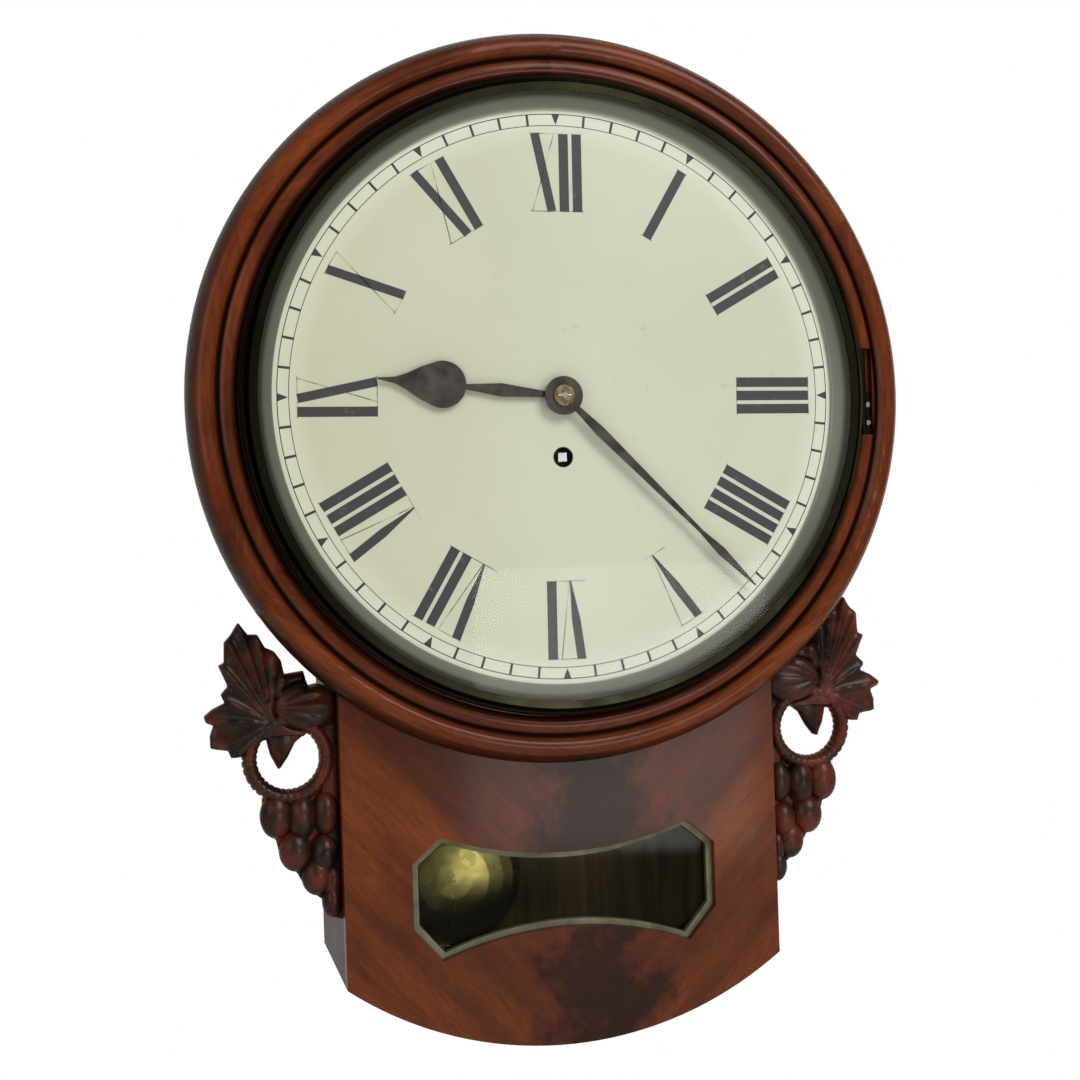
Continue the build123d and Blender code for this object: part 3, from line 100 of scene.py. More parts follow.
card, tree, shader = new_material("white_card")
shader.inputs["Base Color"].default_value = linear("#f4f4f2")
shader.inputs["Roughness"].default_value = 0.9
paths = add_node(tree, "ShaderNodeLightPath")
seen = add_node(tree, "ShaderNodeMath", {0: paths.outputs["Is Camera Ray"],
                1: paths.outputs["Is Transmission Ray"]}, operation="MAXIMUM")
plain = add_node(tree, "ShaderNodeEmission", {"Color": linear("#ffffff"), "Strength": 1.0})
mixed = add_node(tree, "ShaderNodeMixShader", {0: seen.outputs[0],
                 1: shader.outputs[0], 2: plain.outputs[0]})
tree.links.new(mixed.outputs[0], tree.nodes["Material Output"].inputs["Surface"])
bpy.ops.object.select_all(action="DESELECT")
bpy.ops.mesh.primitive_plane_add(size=8, location=(0, 0, -0.9))
floor = bpy.context.object
floor.name = "floor"
bpy.ops.mesh.primitive_plane_add(size=8, location=(0, 1.0, 2.0), rotation=(radians(90), 0, 0))
backdrop = bpy.context.object
backdrop.name = "backdrop"
for sheet in (floor, backdrop):
    sheet.data.materials.append(card)

# Light: one large soft lamp from the upper right, weaker ones from the left and from the
# front, which reaches the bob through its window, and an even pale surround.
world = bpy.data.worlds.new("studio")
bpy.context.scene.world = world
world.use_nodes = True
daylight = world.node_tree.nodes["Background"]
daylight.inputs["Color"].default_value = linear("#f2f4f6")
daylight.inputs["Strength"].default_value = 0.30


def soft_lamp(name, place, target, size, power):
    """A square lamp aimed at a point, its size in metres and its power in watts."""
    data = bpy.data.lights.new(name, "AREA")
    data.size = size
    data.energy = power
    lamp = bpy.data.objects.new(name, data)
    lamp.location = place
    aim = Vector(target) - Vector(place)
    lamp.rotation_euler = aim.to_track_quat("-Z", "Y").to_euler()
    bpy.context.scene.collection.objects.link(lamp)


soft_lamp("window_light", (0.9, -1.9, 1.2), (0, 0, -0.15), 1.2, 37)
soft_lamp("left_fill", (-1.6, -1.5, 0.3), (0, 0, -0.2), 1.2, 8)
soft_lamp("front_fill", (0.42, -1.55, -0.42), (-0.04, 0, -0.34), 0.40, 3.0)

# Mahogany: dense red-brown wood under French polish, which gives a deep thin gloss.
# Grain lines are drawn 0.7 to 2 mm apart, coarser than the real pores, so they show.
# Places are in millimetres, and the dial's centre lies 95 mm below the hook.
MM = 0.001
DIAL_Z = -95.0


def mahogany(name, stretch, dark, middle, pale, figure=3.0, rough=0.30, tilt=0.0, bend=None):
    material, tree, shader = new_material(name)
    place = add_node(tree, "ShaderNodeTexCoord").outputs["Object"]
    if bend:
        place = bend(tree, place)
    mapped = add_node(tree, "ShaderNodeMapping", {"Vector": place,
                      "Scale": [1 / s for s in stretch], "Rotation": (0, radians(tilt), 0)},
                      vector_type="TEXTURE")
    clouds = add_node(tree, "ShaderNodeTexNoise", {"Vector": mapped.outputs[0],
                      "Scale": figure, "Detail": 3.0, "Roughness": 0.55, "Distortion": 0.6})
    grain = add_node(tree, "ShaderNodeTexNoise", {"Vector": mapped.outputs[0],
                     "Scale": figure * 12, "Detail": 5.0, "Roughness": 0.7})
    blend = add_node(tree, "ShaderNodeMix", {0: 0.38, 2: clouds.outputs[0],
                     3: grain.outputs[0]}, data_type="FLOAT")
    colour = add_node(tree, "ShaderNodeValToRGB", {"Fac": blend.outputs[0]},
                      [(0.34, dark), (0.5, middle), (0.66, pale)]).outputs["Color"]
    bump = add_node(tree, "ShaderNodeBump", {"Height": grain.outputs[0],
                    "Strength": 0.08, "Distance": 0.0004})
    tree.links.new(colour, shader.inputs["Base Color"])
    tree.links.new(bump.outputs[0], shader.inputs["Normal"])
    worn = add_node(tree, "ShaderNodeMapRange", {"Value": clouds.outputs[0], "From Min": 0.3,
                    "From Max": 0.7, "To Min": rough - 0.06, "To Max": rough + 0.1})
    tree.links.new(worn.outputs[0], shader.inputs["Roughness"])
    shader.inputs["Specular IOR Level"].default_value = 0.08
    shader.inputs["Coat Weight"].default_value = 0.14
    shader.inputs["Coat Roughness"].default_value = 0.10
    return material, tree, shader, colour


# Dial surround: mahogany segments, turned on a lathe, with a groove between its inner
# band and its outer roll. The groove, the inner edge by the bezel and the outer flank are
# painted near black as painted shade. The radii are those at which the painted shade ends
# inwards, begins outwards, and fills the groove.
GROOVE_RADIUS = 178.6
SHADED_INSIDE, UNSHADED_FROM, UNSHADED_TO, SHADED_OUTSIDE = 169.2, 172.8, 188.0, 193.5


def segments(tree, place, count):
    """Coordinates for a ring glued up from straight-grained segments."""
    split = add_node(tree, "ShaderNodeSeparateXYZ", {0: place})
    upright = add_node(tree, "ShaderNodeMath", {0: split.outputs["Z"], 1: -DIAL_Z * MM},
                       operation="ADD")
    angle = add_node(tree, "ShaderNodeMath", {0: split.outputs["X"], 1: upright.outputs[0]},
                     operation="ARCTAN2")
    which = add_node(tree, "ShaderNodeMath", {0: angle.outputs[0], 1: 2 * pi / count},
                     operation="SNAP")
    local = add_node(tree, "ShaderNodeMath", {0: angle.outputs[0], 1: which.outputs[0]},
                     operation="SUBTRACT")
    local = add_node(tree, "ShaderNodeMath", {0: local.outputs[0], 1: -pi / count},
                     operation="ADD")
    far = add_node(tree, "ShaderNodeMath", {0: split.outputs["X"], 1: split.outputs["X"]},
                   operation="MULTIPLY")
    far = add_node(tree, "ShaderNodeMath", {0: upright.outputs[0], 1: upright.outputs[0],
                   2: far.outputs[0]}, operation="MULTIPLY_ADD")
    far = add_node(tree, "ShaderNodeMath", {0: far.outputs[0]}, operation="SQRT")
    along = add_node(tree, "ShaderNodeMath", {0: local.outputs[0]}, operation="SINE")
    along = add_node(tree, "ShaderNodeMath", {0: along.outputs[0], 1: far.outputs[0],
                     2: which.outputs[0]}, operation="MULTIPLY_ADD")
    outward = add_node(tree, "ShaderNodeMath", {0: local.outputs[0]}, operation="COSINE")
    outward = add_node(tree, "ShaderNodeMath", {0: outward.outputs[0], 1: far.outputs[0]},
                       operation="MULTIPLY")
    made = add_node(tree, "ShaderNodeCombineXYZ", {"X": along.outputs[0],
                    "Y": split.outputs["Y"], "Z": outward.outputs[0]})
    return made.outputs[0]


def axis_distance(tree, place, drop):
    """Distance from an axis square to the wall, which lies this many metres below the hook."""
    centred = add_node(tree, "ShaderNodeVectorMath", {0: place.outputs["Object"],
                       1: (0, 0, drop)}, operation="ADD")
    flat = add_node(tree, "ShaderNodeVectorMath", {0: centred.outputs[0], 1: (1, 0, 1)},
                    operation="MULTIPLY")
    return add_node(tree, "ShaderNodeVectorMath", {0: flat.outputs[0]}, operation="LENGTH")


def dress(material, *nodes):
    """Give a material to nodes of the CAD."""
    for name in nodes:
        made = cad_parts[name]
        if not made.material_slots:
            made.data.materials.append(material)
        for slot in made.material_slots:
            slot.link = "OBJECT"
            slot.material = material


polished, tree, shader, colour = mahogany(
    "mahogany_turned_and_polished", (3, 16, 16), "#3c1809", "#5b270d", "#783813", 2.6, 0.30,
    bend=lambda tree, place: segments(tree, place, 6))
place = add_node(tree, "ShaderNodeTexCoord")
radius = axis_distance(tree, place, -DIAL_Z * MM)
off_groove = add_node(tree, "ShaderNodeMath", {0: radius.outputs["Value"], 1: GROOVE_RADIUS * MM},
                      operation="SUBTRACT")
near = add_node(tree, "ShaderNodeMath", {0: off_groove.outputs[0]}, operation="ABSOLUTE")
groove = add_node(tree, "ShaderNodeMapRange", {"Value": near.outputs[0], "From Min": 0.0009,
                  "From Max": 0.0022, "To Min": 0.08, "To Max": 1.0})
inner_edge = add_node(tree, "ShaderNodeMapRange", {"Value": radius.outputs["Value"],
                      "From Min": SHADED_INSIDE * MM, "From Max": UNSHADED_FROM * MM,
                      "To Min": 0.12, "To Max": 1.0})
outer_edge = add_node(tree, "ShaderNodeMapRange", {"Value": radius.outputs["Value"],
                      "From Min": UNSHADED_TO * MM, "From Max": SHADED_OUTSIDE * MM,
                      "To Min": 1.0, "To Max": 0.15})
# Painted shade: the groove, the inner edge and the outer flank are mixed towards near black.
shade_mask = add_node(tree, "ShaderNodeMath", {0: groove.outputs[0], 1: inner_edge.outputs[0]},
                  operation="MULTIPLY")
shade_mask = add_node(tree, "ShaderNodeMath", {0: shade_mask.outputs[0], 1: outer_edge.outputs[0]},
                  operation="MULTIPLY")
painted_shade = add_node(tree, "ShaderNodeMix", {0: shade_mask.outputs[0], 6: linear("#120805"), 7: colour},
                data_type="RGBA")
tree.links.new(painted_shade.outputs[2], shader.inputs["Base Color"])
dress(polished, "dial_surround")

# Trunk front: flame-figured veneer, cut from where the trunk forks. A dark plume rises
# up beside the middle and darker stripes fan out of it to both sides.
PLUME_X = 12.0
FLAME_TILT = 42


def feather(tree, place):
    """Coordinates that mirror left and right of the plume in flame-figured veneer."""
    split = add_node(tree, "ShaderNodeSeparateXYZ", {0: place})
    moved = add_node(tree, "ShaderNodeMath", {0: split.outputs["X"], 1: -PLUME_X * MM},
                     operation="ADD")
    mirrored = add_node(tree, "ShaderNodeMath", {0: moved.outputs[0]}, operation="ABSOLUTE")
    made = add_node(tree, "ShaderNodeCombineXYZ", {"X": mirrored.outputs[0],
                    "Y": split.outputs["Y"], "Z": split.outputs["Z"]})
    return made.outputs[0]


flame, tree, shader, colour = mahogany(
    "mahogany_flame_veneer", (14, 6, 3), "#451d0d", "#5a2910", "#713818", 3.2, 0.33,
    FLAME_TILT, feather)
place = add_node(tree, "ShaderNodeTexCoord")
split = add_node(tree, "ShaderNodeSeparateXYZ", {0: place.outputs["Object"]})
waver = add_node(tree, "ShaderNodeTexNoise", {"Vector": place.outputs["Object"],
                 "Scale": 22.0, "Detail": 6.0, "Roughness": 0.65})
moved = add_node(tree, "ShaderNodeMath", {0: split.outputs["X"], 1: -PLUME_X * MM},
                 operation="ADD")
side = add_node(tree, "ShaderNodeMath", {0: moved.outputs[0]}, operation="ABSOLUTE")
edge = add_node(tree, "ShaderNodeMath", {0: waver.outputs[0], 1: 0.16, 2: side.outputs[0]},
                operation="MULTIPLY_ADD")
plume = add_node(tree, "ShaderNodeMapRange", {"Value": edge.outputs[0], "From Min": 0.088,
                 "From Max": 0.112, "To Min": 0.85, "To Max": 0.0},
                 interpolation_type="SMOOTHSTEP")
streaks = add_node(tree, "ShaderNodeMapping", {"Vector": feather(tree, place.outputs["Object"]),
                   "Rotation": (0, radians(FLAME_TILT), 0), "Scale": (0.012, 0.1, 0.12)},
                   vector_type="TEXTURE")
stripes = add_node(tree, "ShaderNodeTexNoise", {"Vector": streaks.outputs[0], "Scale": 1.0,
                   "Detail": 4.0, "Roughness": 0.6, "Distortion": 0.5})
lined = add_node(tree, "ShaderNodeMapRange", {"Value": stripes.outputs[0], "From Min": 0.46,
                 "From Max": 0.72, "To Min": 0.0, "To Max": 0.5})
striped = add_node(tree, "ShaderNodeMix", {0: lined.outputs[0], 6: colour,
                   7: linear("#34160c")}, data_type="RGBA")
plumed = add_node(tree, "ShaderNodeMix", {0: plume.outputs[0], 6: striped.outputs[2],
                  7: linear("#1c0e09")}, data_type="RGBA")
tree.links.new(plumed.outputs[2], shader.inputs["Base Color"])
dress(flame, "trunk_front")

# Case sides, rails and doors: plainer straight-grained mahogany under thin polish. The
# sides have turned brown, and the curved bottom has kept more of its red.
straight, _, _, _ = mahogany(
    "mahogany_straight_grained", (40, 40, 4), "#2c1d16", "#463026", "#5c4232", rough=0.5)
dress(straight, "left_side", "right_side", "side_door")
along, _, _, _ = mahogany(
    "mahogany_bottom_boards", (4, 40, 40), "#34190f", "#542a18", "#6c3c22", rough=0.45)
dress(along, "bottom_left_rail", "bottom_right_rail", "bottom_door")

# Backboard, case top and battens: bare pine that was never polished and has browned with
# age. The pegs that hold the battens in the case are beech.


def bare_wood(name, stretch, dark, pale):
    material, tree, shader = new_material(name)
    place = add_node(tree, "ShaderNodeTexCoord")
    mapped = add_node(tree, "ShaderNodeMapping", {"Vector": place.outputs["Object"],
                      "Scale": stretch})
    rings = add_node(tree, "ShaderNodeTexNoise", {"Vector": mapped.outputs[0], "Scale": 2.0,
                     "Detail": 5.0, "Roughness": 0.65, "Distortion": 1.2})
    colour = add_node(tree, "ShaderNodeValToRGB", {"Fac": rings.outputs[0]},
                      [(0.35, dark), (0.62, pale)]).outputs["Color"]
    bump = add_node(tree, "ShaderNodeBump", {"Height": rings.outputs[0], "Strength": 0.25,
                    "Distance": 0.0006})
    tree.links.new(colour, shader.inputs["Base Color"])
    tree.links.new(bump.outputs[0], shader.inputs["Normal"])
    shader.inputs["Roughness"].default_value = 0.72
    return material


dress(bare_wood("pine_bare", (30, 30, 3), "#5d4327", "#8d6c45"),
      "backboard", "left_batten", "right_batten")
dress(bare_wood("pine_bare_across", (3, 30, 30), "#5d4327", "#8d6c45"), "case_top")
dress(bare_wood("beech_bare", (8, 90, 90), "#84603c", "#b58a5c"), "case_pegs")

# Brass, steel and iron: one recipe, a metal whose colour and sheen wander where it has
# been handled or has tarnished.


def metal(name, dark, pale, rough, spots=60.0, metallic=1.0):
    material, tree, shader = new_material(name)
    place = add_node(tree, "ShaderNodeTexCoord")
    stain = add_node(tree, "ShaderNodeTexNoise", {"Vector": place.outputs["Object"],
                     "Scale": spots, "Detail": 5.0, "Roughness": 0.62})
    colour = add_node(tree, "ShaderNodeValToRGB", {"Fac": stain.outputs[0]},
                      [(0.36, dark), (0.62, pale)]).outputs["Color"]
    sheen = add_node(tree, "ShaderNodeMapRange", {"Value": stain.outputs[0],
                     "From Min": 0.3, "From Max": 0.7, "To Min": rough + 0.12,
                     "To Max": rough - 0.05})
    bump = add_node(tree, "ShaderNodeBump", {"Height": stain.outputs[0],
                    "Strength": 0.05, "Distance": 0.0002})
    tree.links.new(colour, shader.inputs["Base Color"])
    tree.links.new(sheen.outputs[0], shader.inputs["Roughness"])
    tree.links.new(bump.outputs[0], shader.inputs["Normal"])
    shader.inputs["Metallic"].default_value = metallic
    return material


clean_brass = metal("brass_lacquered", "#8d6e35", "#c9a863", 0.30)
dress(metal("brass_collet_darkened", "#4a4230", "#8f855f", 0.34, 300.0), "hand_collet")
dress(clean_brass, "minute_wheel", "hour_wheel", "cannon_pinion",
      "front_plate", "back_plate", "plate_pillars", "great_wheel", "spring_barrel",
      "barrel_cap", "back_cock", "rating_nut", "hanging_plate", "side_door_button",
      "bottom_door_button", "door_hinge_leaves", "side_hinge_straps",
      "bottom_hinge_straps")
bright_steel = metal("steel_polished", "#6d6e70", "#a9abad", 0.28)
dress(bright_steel, "wood_screws", "door_hinge_pins", "bezel_hinge_pin", "hand_pin",
      "taper_pins", "barrel_arbor", "mainspring", "click", "centre_arbor", "third_arbor",
      "escape_arbor", "pallets", "suspension_spring", "pendulum_rod", "movement_screws")
dress(metal("steel_hands_browned", "#2c2825", "#4b443f", 0.48, 90.0, 0.75),
      "hour_hand", "minute_hand")
dress(metal("brass_bezel_tarnished", "#17150f", "#29261b", 0.26, 20.0),
      "bezel", "bezel_hinge_leaf")
dress(metal("brass_bob_tarnished", "#5a5338", "#b5a46e", 0.24, 22.0), "pendulum_bob")
dress(metal("brass_bead_dulled", "#57543f", "#736f58", 0.50, 60.0, 0.6), "window_bead")

# Fusee: brass cone on a steel arbor, whose bright squared end takes the key. Steel turns
# to brass between the two radii.
FUSEE_DROP = 127.1
STEEL_RADIUS, BRASS_RADIUS = 3.3, 3.6
fusee_mix, tree, shader = new_material("brass_fusee_on_steel_arbor")
place = add_node(tree, "ShaderNodeTexCoord")
radius = axis_distance(tree, place, FUSEE_DROP * MM)
outward = add_node(tree, "ShaderNodeMapRange", {"Value": radius.outputs["Value"],
                   "From Min": STEEL_RADIUS * MM, "From Max": BRASS_RADIUS * MM})
tint = add_node(tree, "ShaderNodeValToRGB", {"Fac": outward.outputs[0]},
                [(0.0, "#c9cbcd"), (1.0, "#b8974f")])
tree.links.new(tint.outputs[0], shader.inputs["Base Color"])
shader.inputs["Metallic"].default_value = 1.0
shader.inputs["Roughness"].default_value = 0.32
dress(fusee_mix, "fusee")

# Sight ring: sheet brass spun to a slope, once silvered. It has gone grey-green, and is
# painted darker towards the glass as painted shade under the bezel's rim.
SIGHT_INNER, SIGHT_OUTER = 151.5, 160.0
silvered, tree, shader = new_material("brass_sight_ring_silvered")
place = add_node(tree, "ShaderNodeTexCoord")
radius = axis_distance(tree, place, -DIAL_Z * MM)
across = add_node(tree, "ShaderNodeMapRange", {"Value": radius.outputs["Value"],
                  "From Min": SIGHT_INNER * MM, "From Max": SIGHT_OUTER * MM})
# Painted shade: the outer stops darken towards the bezel.
tint = add_node(tree, "ShaderNodeValToRGB", {"Fac": across.outputs[0]},
                [(0.0, "#8f907f"), (0.08, "#74766a"), (0.50, "#6b6d60"), (0.66, "#4a4b3f"),
                 (0.74, "#2f3027")])
tree.links.new(tint.outputs[0], shader.inputs["Base Color"])
shader.inputs["Metallic"].default_value = 0.55
shader.inputs["Roughness"].default_value = 0.42
dress(silvered, "sight_ring")

# Gut line: twisted sheep gut, pale and slightly glossy, led from the spring barrel to the
# fusee. Its twist shows as fine bands.
gut, tree, shader = new_material("gut_twisted")
place = add_node(tree, "ShaderNodeTexCoord")
twist = add_node(tree, "ShaderNodeTexWave", {"Vector": place.outputs["Object"],
                 "Scale": 320.0, "Distortion": 1.0}, bands_direction="Y")
tint = add_node(tree, "ShaderNodeValToRGB", {"Fac": twist.outputs[0]},
                [(0.2, "#7c6235"), (0.8, "#c2a56a")])
tree.links.new(tint.outputs[0], shader.inputs["Base Color"])
shader.inputs["Roughness"].default_value = 0.5
dress(gut, "gut_line")

# Glass: old sheet glass, clear over the dial and dusty over the window. Each pane keeps
# only a share of its mirror reflection, so that what is behind it shows.


def sheet_glass(name, tint, gloss_share, rough):
    material, tree, _ = new_material(name)
    gloss = add_node(tree, "ShaderNodeBsdfGlossy", {"Color": linear("#ffffff"),
                     "Roughness": rough})
    through = add_node(tree, "ShaderNodeBsdfTransparent", {"Color": linear(tint)})
    bend = add_node(tree, "ShaderNodeFresnel", {"IOR": 1.5})
    share = add_node(tree, "ShaderNodeMath", {0: bend.outputs[0], 1: gloss_share},
                     operation="MULTIPLY")
    pane = add_node(tree, "ShaderNodeMixShader", {0: share.outputs[0],
                    1: through.outputs[0], 2: gloss.outputs[0]})
    tree.links.new(pane.outputs[0], tree.nodes["Material Output"].inputs["Surface"])
    return material


dress(sheet_glass("glass_dial", "#ffffff", 0.10, 0.03), "bezel_glass")
dress(sheet_glass("glass_window", "#eceee4", 0.12, 0.05), "window_glass")

# Dial plate: sheet iron under hard cream paint, painted darker and yellower towards the
# left as painted shade, and paler towards its border as painted light against the bezel's shade.
paint, tree, shader = new_material("paint_dial_cream")
place = add_node(tree, "ShaderNodeTexCoord")
cloud = add_node(tree, "ShaderNodeTexNoise", {"Vector": place.outputs["Object"],
                 "Scale": 9.0, "Detail": 4.0, "Roughness": 0.5})
ground = add_node(tree, "ShaderNodeValToRGB", {"Fac": cloud.outputs[0]},
                  [(0.35, "#c4c6ae"), (0.65, "#cbcdb6")])
fleck = add_node(tree, "ShaderNodeTexNoise", {"Vector": place.outputs["Object"],
                 "Scale": 160.0, "Detail": 2.0})
mark = add_node(tree, "ShaderNodeMapRange", {"Value": fleck.outputs[0], "From Min": 0.70,
                "From Max": 0.78, "To Min": 0.0, "To Max": 0.35})
marked = add_node(tree, "ShaderNodeMix", {0: mark.outputs[0], 6: ground.outputs[0],
                  7: linear("#a9a88a")}, data_type="RGBA")
split = add_node(tree, "ShaderNodeSeparateXYZ", {0: place.outputs["Object"]})
# Painted shade: darker and yellower towards the left, away from the main lamp.
painted_shade = add_node(tree, "ShaderNodeMapRange", {"Value": split.outputs["X"], "From Min": -0.14,
                "From Max": 0.02, "To Min": 0.75, "To Max": 0.0})
shaded_left = add_node(tree, "ShaderNodeMix", {0: painted_shade.outputs[0], 6: marked.outputs[2],
                    7: linear("#c2c1a3")}, data_type="RGBA")
# Painted light: paler towards the border, where the bezel shades the dial.
radius = axis_distance(tree, place, -DIAL_Z * MM)
border = add_node(tree, "ShaderNodeMapRange", {"Value": radius.outputs["Value"],
                  "From Min": 0.132, "From Max": 0.153, "To Min": 0.0, "To Max": 0.5})
border_lightened = add_node(tree, "ShaderNodeMix", {0: border.outputs[0], 6: shaded_left.outputs[2],
                   7: linear("#eff0de")}, data_type="RGBA")
tree.links.new(border_lightened.outputs[2], shader.inputs["Base Color"])
shader.inputs["Specular IOR Level"].default_value = 0.3
shader.inputs["Roughness"].default_value = 0.42
dress(paint, "dial_plate")

# Numerals and minute track: black paint laid on by hand, worn thin in places, with
# hairlines half rubbed away. They are films just in front of the dial's face, and the
# dial is turned a little to the right.
DIAL_FACE = 136.0
FILM = DIAL_FACE + 0.03
DIAL_TURN = -0.63
ink, tree, shader = new_material("paint_numerals_black")
place = add_node(tree, "ShaderNodeTexCoord")
worn = add_node(tree, "ShaderNodeTexNoise", {"Vector": place.outputs["Object"],
                "Scale": 130.0, "Detail": 5.0, "Roughness": 0.7})
tint = add_node(tree, "ShaderNodeValToRGB", {"Fac": worn.outputs[0]},
                [(0.60, "#2b2c2e"), (0.74, "#5c5d54")])
tree.links.new(tint.outputs[0], shader.inputs["Base Color"])
shader.inputs["Roughness"].default_value = 0.5
faded, tree, shader = new_material("paint_hairlines_worn")
place = add_node(tree, "ShaderNodeTexCoord")
wear_and_relief_shade = add_node(tree, "ShaderNodeTexNoise", {"Vector": place.outputs["Object"],
                  "Scale": 70.0, "Detail": 3.0})
left = add_node(tree, "ShaderNodeMapRange", {"Value": wear_and_relief_shade.outputs[0], "From Min": 0.42,
                "From Max": 0.58, "To Min": 0.75, "To Max": 0.15})
shader.inputs["Base Color"].default_value = linear("#55564c")
tree.links.new(left.outputs[0], shader.inputs["Alpha"])
numeral_parts = []


def spot(across, height, standoff):
    """A place on the clock, in millimetres: across and up from the dial's centre, and out
    from the wall."""
    return Vector((across * MM, -standoff * MM, (DIAL_Z + height) * MM))


def paint_stroke(angle, low, high, width, coat=ink, tip=1.0):
    """A straight stroke on the dial. Its ends are across and outward from the centre,
    on an upright axis turned clockwise by the angle. The tip is how wide its inner end
    is left, as a share of its width."""
    across, out = high[0] - low[0], high[1] - low[1]
    middle = Vector(((low[0] + high[0]) / 2, (low[1] + high[1]) / 2))
    turned = radians(-angle + DIAL_TURN)
    x = middle.x * cos(turned) - middle.y * sin(turned)
    z = middle.x * sin(turned) + middle.y * cos(turned)
    bpy.ops.mesh.primitive_plane_add(size=1, location=spot(x, z, FILM),
                                     rotation=(radians(90), 0, 0))
    film = bpy.context.object
    film.scale = (width * MM, hypot(across, out) * MM, 1)
    lean = atan2(-across, out) + turned
    film.rotation_euler = (radians(90), -lean, 0)
    for vertex in film.data.vertices:
        if vertex.co.y < 0:
            vertex.co.x *= tip
    film.data.materials.append(coat)
    numeral_parts.append(film)


NUMERALS = ("XII", "I", "II", "III", "IIII", "V", "VI", "VII", "VIII", "IX", "X", "XI")
INNER, OUTER = 97.5, 138.5
WIDTHS = {"I": 7.2, "V": 15.0, "X": 15.0}
THICK, THIN = 5.2, 0.55
for hour, letters in enumerate(NUMERALS):
    start = -sum(WIDTHS[letter] for letter in letters) / 2
    angle = hour * 30
    for letter in letters:
        left, wide = start, WIDTHS[letter]
        end = left + wide
        if letter == "I":
            middle = left + wide / 2
            paint_stroke(angle, (middle, INNER), (middle, OUTER), THICK)
        elif letter == "V":
            foot = left + wide * 0.56
            bend = (foot + (left + 3.0 - foot) * 0.5, (INNER + OUTER) / 2)
            paint_stroke(angle, (foot, INNER), bend, THICK * 0.92, tip=0.15)
            paint_stroke(angle, bend, (left + 3.0, OUTER), THICK * 0.92)
            paint_stroke(angle, (foot + 0.6, INNER), (end - 1.2, OUTER), THIN, faded)
        else:
            paint_stroke(angle, (end - 3.2, INNER), (left + 3.2, OUTER), THICK * 0.92)
            paint_stroke(angle, (left + 1.4, INNER), (end - 1.4, OUTER), THIN, faded)
        for out in (INNER, OUTER):
            paint_stroke(angle, (left + 0.3, out), (end - 0.3, out), 0.45, faded)
        start = end
TRACK_IN, TRACK_OUT = 142.8, 148.8
for minute in range(60):
    if minute % 5:
        paint_stroke(minute * 6, (0, TRACK_IN), (0, TRACK_OUT), 1.35)
bpy.ops.object.select_all(action="DESELECT")
for film in numeral_parts:
    film.select_set(True)
bpy.context.view_layer.objects.active = numeral_parts[0]
bpy.ops.object.join()
numerals = bpy.context.object
numerals.name = "dial_numerals"
bpy.ops.object.transform_apply(location=True, rotation=True, scale=True)
film = bmesh.new()
film.from_mesh(numerals.data)
for radius, width in ((TRACK_IN, 0.4), (TRACK_OUT, 0.5)):
    steps = 180
    rims = []
    for reach in (radius - width / 2, radius + width / 2):
        rims.append([film.verts.new(spot(reach * cos(2 * pi * i / steps),
                                         reach * sin(2 * pi * i / steps), FILM))
                     for i in range(steps)])
    for i in range(steps):
        film.faces.new((rims[0][i], rims[0][i - 1], rims[1][i - 1], rims[1][i]))
for hour in range(12):
    middle = radians(90 - hour * 30 + DIAL_TURN)
    corners = []
    for turn_by, reach in ((-1.0, TRACK_OUT), (1.0, TRACK_OUT), (0.0, TRACK_IN + 0.4)):
        angle = middle + turn_by * 2.2 / TRACK_OUT
        corners.append(film.verts.new(spot(reach * cos(angle), reach * sin(angle), FILM)))
    film.faces.new(corners)
for face in film.faces:
    face.normal_update()
    if face.normal.y > 0:
        face.normal_flip()
film.to_mesh(numerals.data)
film.free()
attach(numerals, "case")

# Ears: each is carved from one piece of mahogany, a vine leaf over a roped ring with
# grapes below, painted dark in the hollows as painted shade and redder on what stands out as
# painted light.
carved, tree, shader = new_material("mahogany_carved_with_painted_shade")
place = add_node(tree, "ShaderNodeTexCoord")
form = add_node(tree, "ShaderNodeNewGeometry")
stain = add_node(tree, "ShaderNodeTexNoise", {"Vector": place.outputs["Object"],
                 "Scale": 55.0, "Detail": 5.0, "Roughness": 0.6})
# Painted shade and light: Pointiness darkens the hollows and reddens what stands out, mixed with
# a random stain.
wear_and_relief_shade = add_node(tree, "ShaderNodeMix", {0: 0.45, 2: form.outputs["Pointiness"],
                  3: stain.outputs[0]}, data_type="FLOAT")
tint = add_node(tree, "ShaderNodeValToRGB", {"Fac": wear_and_relief_shade.outputs[0]},
                [(0.44, "#130b07"), (0.50, "#2f180f"), (0.57, "#562312")])
tree.links.new(tint.outputs[0], shader.inputs["Base Color"])
shader.inputs["Roughness"].default_value = 0.40
shader.inputs["Specular IOR Level"].default_value = 0.15
shader.inputs["Coat Weight"].default_value = 0.12
shader.inputs["Coat Roughness"].default_value = 0.15

